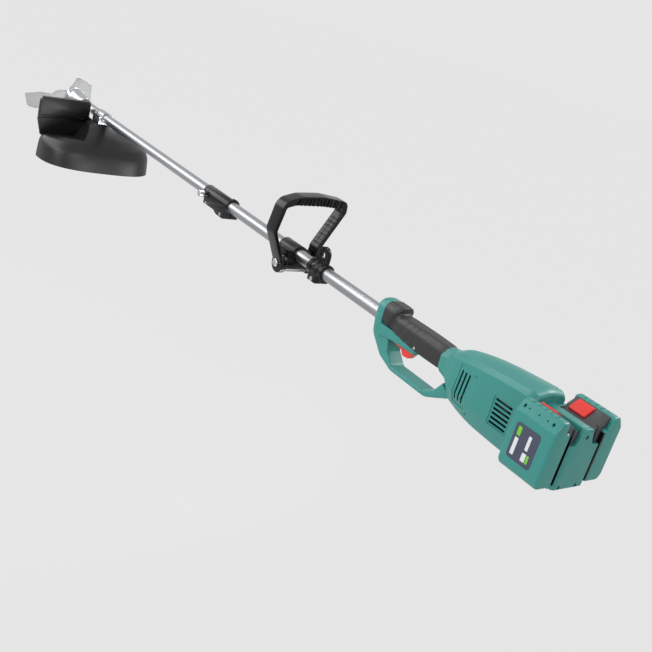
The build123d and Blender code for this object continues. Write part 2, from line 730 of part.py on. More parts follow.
def guard_section(half, rear, radius, front, z):
    """Flattened arch of the guard in plan at one height."""
    points = [(front, -half), (rear, -half), (rear, half), (front, half)]
    return Pos(0, 0, z) * make_face(FilletPolyline(*points, radius=[0, radius, radius, 0], close=True))


def rim_section(inset, front_extra):
    """Lower edge of the guard."""
    return guard_section(GUARD_WIDTH / 2 - inset, GUARD_REAR_X - inset, GUARD_CORNER_R - inset,
                         GUARD_FRONT_X - front_extra, GUARD_BOTTOM_Z)


def step_section(inset, front_extra):
    """Top of the guard's skirt, where its fan begins."""
    return guard_section(GUARD_WIDTH / 2 - GUARD_STEP_INSET - inset, GUARD_REAR_X - GUARD_STEP_BACK - inset,
                         GUARD_STEP_CORNER_R - inset, GUARD_FRONT_X - front_extra, GUARD_STEP_Z)


def notch_prism(points, rise):
    """Prism along X through the guard, whose points rise by the given amounts from its front to its rear."""
    faces = []
    for x, share in ((GUARD_FRONT_X - NOTCH_MARGIN, 0.0), (GUARD_REAR_X + NOTCH_MARGIN, 1.0)):
        line = [(x, y, z + up * share) for (y, z), up in zip(points, rise)]
        faces.append(make_face(Polyline(*line, close=True)))
    return loft(faces)


def neck_section(inset, front_extra, z):
    """Narrow top of the guard under its bracket."""
    half = NECK_WIDTH / 2 - inset
    radius = half * NECK_ROUND_SHARE
    points = [(NECK_FRONT_X - front_extra, -half), (NECK_REAR_X - inset, -half),
              (NECK_REAR_X - inset, half), (NECK_FRONT_X - front_extra, half)]
    return Pos(0, 0, z) * make_face(FilletPolyline(*points, radius=[0, radius, radius, 0], close=True))


def guard_nodes():
    """Guard with its left flap, the tube bracket that carries it and the bolts."""
    nodes = {}
    wall = GUARD_WALL
    outer = loft([rim_section(0, 0), step_section(0, 0)])
    outer += loft([step_section(0, 0), neck_section(0, 0, NECK_TOP_Z)])
    inner = loft([rim_section(wall, CUT_MARGIN), step_section(wall, CUT_MARGIN)])
    inner += loft([step_section(wall, CUT_MARGIN), neck_section(wall, CUT_MARGIN, NECK_TOP_Z - wall)])
    top = (NOTCH_TOP_Y, NOTCH_TOP_Z)
    corner = (NOTCH_CORNER_Y, NOTCH_Z)
    lean = hypot(corner[0] - top[0], corner[1] - top[1])
    skew = wall * lean / (top[1] - corner[1])
    rise = [0, NOTCH_RISE, NOTCH_RISE, 0]
    notch = notch_prism([top, corner, (-GUARD_WIDTH, NOTCH_Z), (-GUARD_WIDTH, NOTCH_TOP_Z)], rise)
    step = notch_prism([top, corner, (corner[0] + skew, NOTCH_Z), (top[0] + skew, NOTCH_TOP_Z)], rise)
    floor_line = [(corner[0] + skew, NOTCH_Z), (-GUARD_WIDTH, NOTCH_Z),
                  (-GUARD_WIDTH, NOTCH_Z - wall), (corner[0] + skew, NOTCH_Z - wall)]
    floor = notch_prism(floor_line, [NOTCH_RISE] * len(floor_line))
    shell = (outer - inner - notch) + (outer & step) + (outer & floor)
    groove_z = FLAP_BOTTOM_Z - GROOVE_H
    panel = plate_yz([(-FLAP_LENGTH, FLAP_BOTTOM_Z), (-FLAP_LENGTH + PANEL_TAPER, PANEL_BOTTOM_Z),
                      (0, PANEL_BOTTOM_Z), (0, FLAP_BOTTOM_Z)], 0, 0, PANEL_T)
    panel -= block(GROOVE_FLOOR, PANEL_T, -FLAP_LENGTH, 0, groove_z, FLAP_BOTTOM_Z)
    flap_line = [(-FLAP_LENGTH, FLAP_BOTTOM_Z), (0, FLAP_BOTTOM_Z),
                 (0, FLAP_TOP_Z), (-FLAP_LENGTH, FLAP_TOP_Z)]
    panel += plate_yz(flap_line, [0, 0, FLAP_CORNER_R, FLAP_CORNER_R], 0, wall + FLAP_STEP)
    flap_x = GUARD_FRONT_X - wall - FLAP_LENGTH * sin(radians(FLAP_TURN))
    flap = Pos(flap_x, FLAP_INNER_Y, 0) * Rot(0, 0, FLAP_TURN) * panel
    outer_y = FLAP_INNER_Y - (FLAP_LENGTH - PANEL_TAPER) * cos(radians(FLAP_TURN))
    outer_x = flap_x + (FLAP_LENGTH - PANEL_TAPER) * sin(radians(FLAP_TURN))
    ledge_rear_x = GUARD_FRONT_X + wall
    ledge_line = [(flap_x + GROOVE_FLOOR, FLAP_INNER_Y), (outer_x + GROOVE_FLOOR, outer_y),
                  (ledge_rear_x, outer_y), (ledge_rear_x, FLAP_INNER_Y)]
    ledge = make_face(Polyline(*ledge_line, close=True))
    ledge = extrude(Pos(0, 0, NOTCH_Z - wall) * ledge, amount=wall)
    pad = block(NECK_FRONT_X, NECK_REAR_X, -NECK_WIDTH / 2, NECK_WIDTH / 2, NECK_TOP_Z - wall, NECK_TOP_Z)
    rib = block(flap_x + GROOVE_FLOOR, NECK_FRONT_X + RIB_OVERLAP, FLAP_INNER_Y - wall, FLAP_INNER_Y,
                RIB_BOTTOM_Z, NECK_TOP_Z)
    guard = shell + flap + ledge + pad + rib
    bracket_top = rod_x(BRACKET_R, BRACKET_X - BRACKET_LENGTH / 2, BRACKET_X + BRACKET_LENGTH / 2)
    ear = block(BRACKET_X - BRACKET_LENGTH / 2, BRACKET_X + BRACKET_LENGTH / 2,
                -BRACKET_EAR_W / 2, BRACKET_EAR_W / 2, 0, BRACKET_EAR_H)
    low = block(BRACKET_X - BRACKET_LENGTH / 2, BRACKET_X + BRACKET_LENGTH / 2,
                -BRACKET_EAR_W / 2, BRACKET_EAR_W / 2, NECK_TOP_Z, 0)
    bore = rod_x(TUBE_SEAT_R, BRACKET_X - BRACKET_LENGTH, BRACKET_X + BRACKET_LENGTH)
    above = block(BRACKET_X - BRACKET_LENGTH, BRACKET_X + BRACKET_LENGTH,
                  -BRACKET_EAR_W, BRACKET_EAR_W, 0, BRACKET_EAR_W)
    upper = (bracket_top & above) + ear - bore
    lower = fillet(low.edges().filter_by(Axis.X).group_by(Axis.Z)[0], BRACKET_ROUND) - bore
    bolts = []
    for dx in (-BRACKET_BOLT_DX, BRACKET_BOLT_DX):
        for y in (-BRACKET_BOLT_Y, BRACKET_BOLT_Y):
            hole = rod_z(M4_D / 2 + SEAT_FIT, NECK_TOP_Z - 2 * wall, BRACKET_EAR_W, BRACKET_X + dx, y)
            seat = rod_z(M4_HEAD_D / 2 + SEAT_FIT, BRACKET_EAR_H, BRACKET_EAR_W, BRACKET_X + dx, y)
            upper -= hole + seat
            lower -= hole
            guard -= hole
            length = BRACKET_EAR_H - NECK_TOP_Z + wall
            bolts.append(cap_screw_z(
                BRACKET_X + dx, y, BRACKET_EAR_H, length, M4_D, M4_HEAD_D, M4_HEAD_H, -1))
    nodes["guard"] = guard
    nodes["guard_bracket_upper"] = upper
    nodes["guard_bracket_lower"] = lower
    nodes["guard_bolts"] = group(bolts)
    return nodes


def coil_spring(radius, wire, turns, length):
    """Compression spring on +Z as one round wire along half-turn arcs."""
    rise = (length - wire) / turns / 2
    path = None
    for half in range(2 * turns):
        side = 1 if half % 2 == 0 else -1
        base = wire / 2 + half * rise
        arc = ThreePointArc((side * radius, 0, base), (0, side * radius, base + rise / 2),
                            (-side * radius, 0, base + rise))
        path = arc if path is None else path + arc
    profile = Plane(origin=path @ 0, z_dir=path % 0) * Circle(wire / 2)
    return sweep(profile, path=path)


def boom():
    """Both tubes, the drive shaft and its bushes."""
    nodes = {}
    front = ring_x(TUBE_R, TUBE_BORE_R, SOCKET_X, COUPLER_X)
    pin_hole = rod_y(LOCK_PIN_D / 2 + RUN_FIT, -TUBE_OD, 0, KNOB_X)
    nodes["front_tube"] = front - pin_hole
    nodes["rear_tube"] = ring_x(TUBE_R, TUBE_BORE_R, COUPLER_X, TUBE_END_X)
    nodes["drive_shaft"] = rod_x(SHAFT_R, SHAFT_FRONT_X, COUPLING_MID_X)
    bushes = []
    for start, end in ((SOCKET_X, KNOB_X), (COUPLER_X, TUBE_END_X)):
        span = (end - start - 2 * BUSH_LENGTH) / (BUSHES_PER_TUBE - 1)
        for index in range(BUSHES_PER_TUBE):
            middle = start + BUSH_LENGTH + index * span
            bushes.append(ring_x(TUBE_BORE_R - SEAT_FIT, SHAFT_R + RUN_FIT,
                                 middle - BUSH_LENGTH / 2, middle + BUSH_LENGTH / 2))
    nodes["shaft_bushes"] = group(bushes)
    return nodes


def coupler():
    """Clamp sleeve that joins the two tubes, with its spring-loaded lock knob."""
    nodes = {}
    x0 = COUPLER_X - COUPLER_LENGTH / 2
    x1 = COUPLER_X + COUPLER_LENGTH / 2
    step_x = COUPLER_X + COUPLER_STEP_DX
    half = COUPLER_BLOCK_W / 2
    block_x = x0 + COUPLER_BLOCK_START
    lug_x = step_x - COUPLER_LUG_BACK
    front = plate_xz([(block_x, 0), (block_x + COUPLER_BLOCK_DRAFT, COUPLER_FRONT_Z),
                      (step_x, COUPLER_FRONT_Z), (step_x, 0)], COUPLER_ROUND, half)
    rear = plate_xz([(lug_x, 0), (lug_x, COUPLER_FRONT_Z), (step_x + COUPLER_LUG_RAMP, COUPLER_REAR_Z),
                     (x1, COUPLER_REAR_Z), (x1, 0)], COUPLER_LUG_ROUND, half)
    boss = rod_y(KNOB_BOSS_D / 2, -KNOB_BOSS_Y, 0, KNOB_X)
    hook = ring_x(COUPLER_R + HOOK_H, COUPLER_R, x1 - HOOK_LENGTH, x1)
    hook &= block(x1 - HOOK_LENGTH, x1, 0, COUPLER_LENGTH, 0, COUPLER_LENGTH)
    body = rod_x(COUPLER_R, x0, x1) + front + rear + boss + hook
    body -= rod_x(TUBE_SEAT_R, x0, x1)
    body -= block(x0, x1, -COUPLER_SLIT / 2, COUPLER_SLIT / 2, COUPLER_REAR_Z, 0)
    body -= rod_y(LOCK_PIN_D / 2 + RUN_FIT, -COUPLER_BLOCK_W, 0, KNOB_X)
    pocket_y = KNOB_BOSS_Y - KNOB_BOSS_FACE
    body -= rod_y(LOCK_COLLAR_D / 2 + SLIDE_GAP, -pocket_y, 0, KNOB_X)
    screws = []
    head_y = -half + M4_HEAD_H - HEAD_PROUD
    for dx, depth in zip(COUPLER_SCREW_DX, (COUPLER_FRONT_Z, COUPLER_REAR_Z)):
        x = x0 + dx
        z = (depth - TUBE_R) / 2 - COUPLER_SCREW_DROP
        body -= rod_y(M4_D / 2 + SEAT_FIT, -half, half, x, z)
        body -= rod_y(M4_HEAD_D / 2 + SEAT_FIT, -half, head_y, x, z)
        length = COUPLER_BLOCK_W - M4_HEAD_H
        screws.append(cap_screw_y(x, z, head_y, length, M4_D, M4_HEAD_D, M4_HEAD_H))
    nodes["coupler_body"] = body
    nodes["coupler_screws"] = group(screws)
    collar_y = TUBE_R + SLIDE_GAP + LOCK_COLLAR_T
    pin = rod_y(LOCK_PIN_D / 2, -KNOB_BOSS_Y - LOCK_PIN_IN_KNOB, -LOCK_PIN_REACH, KNOB_X)
    pin += rod_y(LOCK_COLLAR_D / 2, -collar_y, -collar_y + LOCK_COLLAR_T, KNOB_X)
    knob = rod_y(KNOB_D / 2, -KNOB_BOSS_Y - SLIDE_GAP - KNOB_H, -KNOB_BOSS_Y - SLIDE_GAP, KNOB_X)
    nodes["coupler_lock_knob"] = pin + fillet(knob.edges(), KNOB_ROUND)
    room = pocket_y - collar_y
    spring = coil_spring((LOCK_PIN_D / 2 + LOCK_COLLAR_D / 2) / 2, PIN_SPRING_WIRE, PIN_SPRING_TURNS, room)
    nodes["lock_pin_spring"] = Pos(KNOB_X, -collar_y, 0) * Rot(90, 0, 0) * spring
    return nodes


def loop_outer():
    """Outer outline of the loop handle in YZ, from the left eye over the bar to the right eye."""
    eye = EYE_Y + EYE_T / 2
    return [(-eye, PIVOT_Z), (LOOP_LEFT_Y - LOOP_LEAN, LOOP_KNEE_Z),
            (LOOP_LEFT_Y + LOOP_LEAN, LOOP_TOP_Z - LOOP_SHOULDER_DROP),
            (LOOP_BROW_Y, LOOP_TOP_Z - LOOP_BROW_DROP), (LOOP_CROWN_Y, LOOP_TOP_Z),
            (LOOP_RIGHT_Y - LOOP_RIGHT_IN, LOOP_TOP_Z - LOOP_RIGHT_DROP),
            (LOOP_RIGHT_Y, LOOP_TOP_Z - LOOP_ELBOW_DROP), (eye + LOOP_ANKLE_OUT, LOOP_ANKLE_Z),
            (eye, PIVOT_Z)]


def loop_inner():
    """Inner outline of the loop handle, point for point inside the outer one."""
    eye = EYE_Y + EYE_T / 2 - LOOP_STRAP
    low = LOOP_TOP_Z - LOOP_BAR_H
    left = LOOP_LEFT_Y + LOOP_STRAP
    right = LOOP_RIGHT_Y - LOOP_STRAP
    return [(-eye, PIVOT_Z), (left - LOOP_LEAN, LOOP_KNEE_Z), (left + LOOP_LEAN, low - BAR_SHOULDER_DROP),
            (BAR_BROW_Y, low - BAR_BROW_DROP), (LOOP_CROWN_Y, low),
            (right - BAR_RIGHT_IN, low - BAR_RIGHT_DROP), (right, low - BAR_ELBOW_DROP),
            (eye + LOOP_ANKLE_OUT, LOOP_ANKLE_Z), (eye, PIVOT_Z)]


def loop_handle():
    """Loop handle with its two eyes, the tube clamp, pivot bolt and screws."""
    nodes = {}
    x0 = HANDLE_X - LOOP_DEPTH / 2
    x1 = HANDLE_X + LOOP_DEPTH / 2
    outer = plate_yz(loop_outer(), LOOP_OUTER_ROUND, x0, x1)
    inner = plate_yz(loop_inner(), LOOP_INNER_ROUND, x0 - CUT_MARGIN, x1 + CUT_MARGIN)
    loop = fillet(outer.edges().filter_by(Plane.YZ), LOOP_EDGE_ROUND) - inner
    low = LOOP_TOP_Z - LOOP_BAR_H
    high = low + GRIP_RIB_REACH
    half = GRIP_GROOVE_W / 2
    for index in range(GRIP_RIBS):
        y = GRIP_RIB_Y + (index - (GRIP_RIBS - 1) / 2) * GRIP_RIB_PITCH
        loop -= block(x0, x0 + GRIP_GROOVE_DEPTH, y - half, y + half, low, high)
        loop -= block(x1 - GRIP_GROOVE_DEPTH, x1, y - half, y + half, low, high)
    eye_in = EYE_Y - EYE_T / 2
    eye_out = EYE_Y + EYE_T / 2
    bolt_r = PIVOT_BOLT_D / 2
    loop -= rod_y(KNUCKLE_R + KNUCKLE_ROOM, -eye_in, eye_in, HANDLE_X, PIVOT_Z)
    eye = rod_y(EYE_R, eye_in, eye_out, HANDLE_X, PIVOT_Z)
    loop += eye + mirrored(eye)
    below = block(x0 - CUT_MARGIN, x1 + CUT_MARGIN, -LOOP_TOP_Z, LOOP_TOP_Z, PIVOT_Z - LOOP_TOP_Z, PIVOT_Z)
    loop -= below - rod_y(EYE_R, -LOOP_TOP_Z, LOOP_TOP_Z, HANDLE_X, PIVOT_Z)
    loop -= rod_y(bolt_r + RUN_FIT, -LOOP_TOP_Z, LOOP_TOP_Z, HANDLE_X, PIVOT_Z)
    spot_r = PIVOT_HEAD_D / 2 + 2 * SLIDE_GAP
    loop -= rod_y(spot_r, -LOOP_TOP_Z, -eye_out, HANDLE_X, PIVOT_Z)
    loop -= rod_y(spot_r, eye_out, LOOP_TOP_Z, HANDLE_X, PIVOT_Z)
    nodes["loop_handle"] = loop
    c0 = HANDLE_X - CLAMP_AHEAD - CLAMP_LENGTH / 2
    c1 = HANDLE_X - CLAMP_AHEAD + CLAMP_LENGTH / 2
    bore = rod_x(TUBE_SEAT_R, c0 - CUT_MARGIN, c1 + CLAMP_LENGTH)
    ring = rod_x(CLAMP_R, c0, c1)
    half = CLAMP_EAR_W / 2
    upper = (ring & block(c0, c1, -half, half, 0, half)) + block(c0, c1, -half, half, 0, CLAMP_EAR_H)
    upper -= bore
    knuckle = rod_y(KNUCKLE_R, -eye_in + SLIDE_GAP, eye_in - SLIDE_GAP, HANDLE_X, PIVOT_Z)
    lower = (ring & block(c0, c1, -half, half, -half, 0)) + block(c0, c1, -half, half, -CLAMP_EAR_H, 0)
    lower += knuckle & block(c0, c1 + CLAMP_LENGTH, -LOOP_TOP_Z, LOOP_TOP_Z, -LOOP_TOP_Z, 0)
    lower -= bore
    lower -= rod_y(bolt_r + SEAT_FIT, -LOOP_TOP_Z, LOOP_TOP_Z, HANDLE_X, PIVOT_Z)
    screws = []
    for dx in CLAMP_SCREW_DX:
        for y in (-CLAMP_SCREW_Y, CLAMP_SCREW_Y):
            hole = rod_z(M4_D / 2 + SEAT_FIT, -LOOP_TOP_Z, LOOP_TOP_Z, HANDLE_X + dx, y)
            upper -= hole
            lower -= hole
            screws.append(cap_screw_z(
                HANDLE_X + dx, y, -CLAMP_EAR_H, 2 * CLAMP_EAR_H, M4_D, M4_HEAD_D, M4_HEAD_H))
    nodes["handle_clamp_upper"] = upper
    nodes["handle_clamp_lower"] = lower
    nodes["handle_clamp_screws"] = group(screws)
    head_y = -eye_out - SLIDE_GAP
    bolt = rod_y(bolt_r, head_y, eye_out + PIVOT_BOLT_TAIL, HANDLE_X, PIVOT_Z)
    head = rod_y(PIVOT_HEAD_D / 2, head_y - PIVOT_HEAD_H, head_y, HANDLE_X, PIVOT_Z)
    nodes["handle_pivot_bolt"] = bolt + fillet(head.edges().group_by(Axis.Y)[0], PIVOT_HEAD_ROUND)
    nut = extrude(RegularPolygon(PIVOT_HEAD_D / 2, 6), amount=PIVOT_HEAD_H)
    nut = Pos(HANDLE_X, eye_out + SLIDE_GAP, PIVOT_Z) * Rot(-90, 0, 0) * nut
    nodes["handle_pivot_nut"] = nut - rod_y(bolt_r + SEAT_FIT, 0, LOOP_TOP_Z, HANDLE_X, PIVOT_Z)
    return nodes


def hanger():
    """Harness clamp: a split band with an eye above and a clamping lug below."""
    nodes = {}
    x0 = HANGER_X - HANGER_LENGTH / 2
    x1 = HANGER_X + HANGER_LENGTH / 2
    band = rod_x(HANGER_R, x0, x1)
    for x in (HANGER_X - HANGER_LENGTH / 4, HANGER_X + HANGER_LENGTH / 4):
        band -= ring_x(HANGER_R + CUT_MARGIN, HANGER_R - BAND_GROOVE_DEPTH,
                       x - BAND_GROOVE_W / 2, x + BAND_GROOVE_W / 2)
    tab_half = HANGER_TAB_T / 2
    tab = rod_y(HANGER_TAB_R, -tab_half, tab_half, HANGER_X, HANGER_EYE_Z)
    tab += block(HANGER_X - HANGER_TAB_R, HANGER_X + HANGER_TAB_R, -tab_half, tab_half, 0, HANGER_EYE_Z)
    lug = block(HANGER_X - HANGER_LUG_L / 2, HANGER_X + HANGER_LUG_L / 2,
                -HANGER_LUG_W / 2, HANGER_LUG_W / 2, HANGER_LUG_Z, 0)
    clamp = band + tab + fillet(lug.edges().filter_by(Axis.X).group_by(Axis.Z)[0], HANGER_LUG_ROUND)
    clamp -= rod_x(TUBE_SEAT_R, x0, x1)
    clamp -= block(x0, x1, -HANGER_SLIT / 2, HANGER_SLIT / 2, HANGER_LUG_Z, 0)
    clamp -= rod_y(HANGER_EYE_D / 2, -HANGER_TAB_T, HANGER_TAB_T, HANGER_X, HANGER_EYE_Z)
    half = HANGER_LUG_W / 2
    head_y = -half + M5_HEAD_H - HEAD_PROUD
    clamp -= rod_y(M5_D / 2 + SEAT_FIT, -half, half, HANGER_X, HANGER_SCREW_Z)
    clamp -= rod_y(M5_HEAD_D / 2 + SEAT_FIT, -half, head_y, HANGER_X, HANGER_SCREW_Z)
    nodes["hanger_clamp"] = clamp
    nodes["hanger_screw"] = cap_screw_y(
        HANGER_X, HANGER_SCREW_Z, head_y, HANGER_LUG_W - M5_HEAD_H, M5_D, M5_HEAD_D, M5_HEAD_H)
    return nodes


# Motor stations
RIB_X = STATOR_X - BRACKET_PLATE_T - COUPLING_LENGTH - RIB_SPACE
COUPLING_X = STATOR_X - BRACKET_PLATE_T - COUPLING_LENGTH - COUPLING_SPACE
COUPLING_MID_X = COUPLING_X + COUPLING_LENGTH / 2
STATOR_END_X = STATOR_X + STATOR_LENGTH
FAN_X = STATOR_END_X + FAN_GAP
REAR_PLATE_X = FAN_X + FAN_T + FAN_GAP
MOTOR_SHAFT_END_X = REAR_PLATE_X + BRACKET_PLATE_T - SHAFT_END_INSET


def housing_section(x, half, top, flat, shoulder, bottom, low_flat, inset):
    """Motor housing section: a sloped roof, nearly straight sides and a drawn-in floor."""
    half -= inset
    waist = (half - HOUSING_DRAFT, bottom * HOUSING_WAIST_SHARE)
    low = bottom + inset
    points = [(-half, shoulder), (-waist[0], waist[1]), (-low_flat, low), (low_flat, low),
              waist, (half, shoulder), (flat, top - inset), (-flat, top - inset)]
    radius = max(HOUSING_ROUND - inset, HOUSING_ROUND_MIN)
    outline = FilletPolyline(*points, radius=radius, close=True)
    return Pos(x, 0, 0) * (Plane.YZ * make_face(outline))


def housing_body(inset):
    """Motor housing from the grip to the battery dock."""
    return loft([housing_section(*row, inset) for row in HOUSING_SECTIONS], ruled=True)


def grip_core(margin, x0, x1):
    """Rounded bar inside the rubber grip, grown by a margin."""
    half = CORE_HALF_W + margin
    points = [(-half, CORE_BOTTOM_Z - margin), (half, CORE_BOTTOM_Z - margin),
              (half, CORE_TOP_Z + margin), (-half, CORE_TOP_Z + margin)]
    return plate_yz(points, CORE_ROUND + margin, x0, x1)


def nose_bar(margin, x0, x1, low):
    """Taller bar under the hood at the front of the grip."""
    half = NOSE_HALF_W - HOOD_WALL + margin
    high = NOSE_TOP_Z - HOOD_WALL + margin
    points = [(-half, low), (half, low), (half, high), (-half, high)]
    top_round = NOSE_BAR_ROUND + margin
    return plate_yz(points, [NOSE_LOW_ROUND, NOSE_LOW_ROUND, top_round, top_round], x0, x1)


def finger_opening():
    """Space behind the strap for the fingers, as an outline in XZ."""
    floor_z = STRAP_BOTTOM_Z + STRAP_T
    roof_z = CORE_BOTTOM_Z + FINGER_ROOF
    front = NOSE_X + FINGER_FRONT_DX
    step_high, step_low = FINGER_STEP_DX
    return [(front, SHROUD_BOTTOM_Z - FINGER_TOP_DROP),
            (front + FINGER_KNEE_DX, SHROUD_BOTTOM_Z - FINGER_KNEE_DROP), (front + FINGER_TOE_DX, floor_z),
            (HOUSING_FRONT_X - FINGER_HEEL_DX, floor_z),
            (HOUSING_FRONT_X + FINGER_BACK_DX, floor_z + FINGER_BACK_RISE),
            (HOUSING_FRONT_X + FINGER_ROOT_DX, roof_z), (SHROUD_REAR_X - step_high, roof_z),
            (SHROUD_REAR_X - step_low, SHROUD_BOTTOM_Z - FINGER_ROOF)]


def rear_shells():
    """Two housing halves with the handle strap, the motor room and the screw bosses."""
    nodes = {}
    nose_low = SHROUD_BOTTOM_Z - NOSE_DROP
    root_x = HOUSING_FRONT_X + STRAP_ROOT_DX
    strap_line = [(NOSE_X + STRAP_TOP_DX, NOSE_TOP_Z - STRAP_TOP_DROP), (NOSE_X, STRAP_FACE_Z),
                  (NOSE_X + STRAP_CHIN_DX, nose_low), (NOSE_X + STRAP_KNEE_DX, STRAP_KNEE_Z),
                  (NOSE_X + STRAP_TOE_DX, STRAP_BOTTOM_Z), (HOUSING_FRONT_X - STRAP_HEEL_DX, STRAP_BOTTOM_Z),
                  (HOUSING_FRONT_X + STRAP_BACK_DX, STRAP_BOTTOM_Z + STRAP_BACK_RISE), (root_x, STRAP_ROOT_Z),
                  (root_x, CORE_BOTTOM_Z), (NOSE_X + STRAP_INNER_DX, CORE_BOTTOM_Z)]
    strap = plate_xz(strap_line, STRAP_ROUND, STRAP_W / 2)
    strap = fillet(strap.edges().filter_by(Plane.XZ), STRAP_EDGE_ROUND)
    strap -= plate_xz(finger_opening(), FINGER_ROUND, STRAP_W)
    ring_line = [(-NOSE_HALF_W, nose_low), (NOSE_HALF_W, nose_low),
                 (NOSE_HALF_W, NOSE_TOP_Z), (-NOSE_HALF_W, NOSE_TOP_Z)]
    nose_line = [(NOSE_RING_X, NOSE_TOP_Z), (NOSE_X + NOSE_BROW_DX, NOSE_TOP_Z - NOSE_BROW_DROP),
                 (NOSE_X + NOSE_FACE_DX, NOSE_TOP_Z - NOSE_FACE_DROP), (NOSE_X, NOSE_CHIN_Z),
                 (NOSE_X + NOSE_CHIN_DX, nose_low), (NOSE_RING_X, nose_low)]
    nose = plate_yz(ring_line, NOSE_RING_ROUND, NOSE_X - NOSE_OVERLAP, NOSE_RING_X)
    nose &= plate_xz(nose_line, NOSE_LINE_ROUND, 2 * NOSE_HALF_W)
    shroud_x = NOSE_RING_X - SHROUD_OVERLAP
    shroud_top = CORE_BOTTOM_Z + SHROUD_IN_CORE
    shroud = plate_xz([(shroud_x, SHROUD_BOTTOM_Z), (SHROUD_REAR_X, SHROUD_BOTTOM_Z),
                       (SHROUD_REAR_X, shroud_top), (shroud_x, shroud_top)], SHROUD_ROUND, SHROUD_HALF_W)
    core = nose_bar(0, NOSE_RING_X - CORE_IN_NOSE, HOOD_REAR_X - HOOD_LIP, CORE_BOTTOM_Z)
    core += grip_core(0, NOSE_RING_X, HOUSING_FRONT_X + CORE_IN_HOUSING)
    full = strap + nose + shroud + core + housing_body(0)
    full -= grip_core(-CORE_WALL, TUBE_END_X, HOUSING_FRONT_X + 2 * CORE_IN_HOUSING)
    full -= housing_body(HOUSING_WALL)
    full -= rod_x(TUBE_SEAT_R, NOSE_X - TUBE_R, TUBE_END_X)
    slot_half = TRIGGER_W / 2 + SLIDE_GAP
    full -= block(TRIGGER_PIVOT_X - SLOT_AHEAD, SHROUD_REAR_X - SLOT_END_WALL,
                  -slot_half, slot_half, STRAP_BOTTOM_Z / 2, SLOT_TOP_Z)
    pin_hole_r = TRIGGER_PIN_D / 2 + SEAT_FIT
    full -= rod_y(pin_hole_r, -TRIGGER_PIN_HALF, TRIGGER_PIN_HALF, TRIGGER_PIVOT_X, TRIGGER_PIVOT_Z)
    ribs = block(RIB_X, RIB_X + RIB_T, -HOUSING_HALF_W, HOUSING_HALF_W, HOUSING_BOTTOM_Z, HOUSING_TOP_Z)
    ribs -= rod_x(SHAFT_R + SHAFT_HOLE_GAP, RIB_X, RIB_X + RIB_T)
    cradle_x0 = STATOR_X - BRACKET_PLATE_T
    for x in (cradle_x0, REAR_PLATE_X):
        cradle = block(x, x + RIB_T, -HOUSING_HALF_W, HOUSING_HALF_W, HOUSING_BOTTOM_Z, BOARD_Z)
        ribs += cradle - rod_x(STATOR_D / 2 + SEAT_FIT, x, x + RIB_T)
    full += ribs & housing_body(HOUSING_WALL / 2)
    for side in (-1, 1):
        y0, y1 = sorted((side * (HOUSING_HALF_W + VENT_CUT_OUT), side * (HOUSING_HALF_W - VENT_CUT_IN)))
        for index in range(VENT_TALL_COUNT):
            x = VENT_TALL_X + index * VENT_TALL_PITCH
            full -= block(x, x + VENT_W, y0, y1, VENT_TALL_Z0, VENT_TALL_Z1)
        for index in range(VENT_LONG_COUNT):
            z = VENT_LONG_Z + index * VENT_LONG_PITCH
            full -= block(VENT_LONG_X0, VENT_LONG_X1, y0, y1, z - VENT_W / 2, z + VENT_W / 2)
    screws = []
    outer = housing_body(BOSS_INSET)
    shank_d = SCREW_PILOT_D - 2 * SEAT_FIT
    head_y = HOUSING_HALF_W * HOUSING_SCREW_SHARE
    side_y = HOUSING_HALF_W + BOSS_D
    for x, z in HOUSING_SCREWS:
        full += rod_y(BOSS_D / 2, -HOUSING_HALF_W, HOUSING_HALF_W, x, z) & outer
        full -= rod_y(SCREW_PILOT_D / 2, -head_y, side_y, x, z)
        full -= rod_y(M4_HEAD_D / 2 + SLIDE_GAP, head_y, side_y, x, z)
        length = head_y * HOUSING_SCREW_REACH
        screws.append(cap_screw_y(x, z, head_y, length, shank_d, M4_HEAD_D, M4_HEAD_H, -1))
    grip_y = CORE_HALF_W + GRIP_WALL
    sink_y = -grip_y + GRIP_SCREW_SINK
    full -= rod_y(SCREW_PILOT_D / 2, -grip_y, 0, GRIP_SCREW_X, GRIP_SCREW_Z)
    screws.append(cap_screw_y(GRIP_SCREW_X, GRIP_SCREW_Z, sink_y, CORE_WALL + GRIP_WALL, shank_d,
                              GRIP_SCREW_HEAD_D, GRIP_SCREW_HEAD_H))
    huge = 2 * HOUSING_REAR_X
    nodes["housing_left"] = full & block(-huge, huge, -huge, 0, -huge, huge)
    nodes["housing_right"] = full & block(-huge, huge, 0, huge, -huge, huge)
    nodes["housing_screws"] = group(screws)
    seat_z = shroud_top + SEAT_FIT
    seat_x = SHROUD_REAR_X + SEAT_FIT
    hood = nose_bar(HOOD_WALL, NOSE_RING_X, HOOD_REAR_X, seat_z)
    hood = fillet(hood.faces().sort_by(Axis.X)[-1].edges(), HOOD_ROUND)
    rubber = hood + grip_core(GRIP_WALL, HOOD_REAR_X - SLEEVE_IN_HOOD, GRIP_REAR_X)
    rubber -= nose_bar(SEAT_FIT, shroud_x, HOOD_REAR_X - HOOD_LIP + SEAT_FIT, CORE_BOTTOM_Z - SHROUD_IN_CORE)
    rubber -= grip_core(SEAT_FIT, shroud_x, GRIP_REAR_X + CORE_IN_HOUSING)
    rubber -= plate_xz([(shroud_x, STRAP_BOTTOM_Z), (seat_x, STRAP_BOTTOM_Z), (seat_x, seat_z),
                        (shroud_x, seat_z)], SHROUD_SEAT_ROUND, NOSE_HALF_W + HOOD_WALL)
    rubber -= housing_body(-SEAT_FIT)
    rubber -= rod_y(SCREW_PILOT_D / 2, -grip_y, 0, GRIP_SCREW_X, GRIP_SCREW_Z)
    head_r = GRIP_SCREW_HEAD_D / 2 + SEAT_FIT
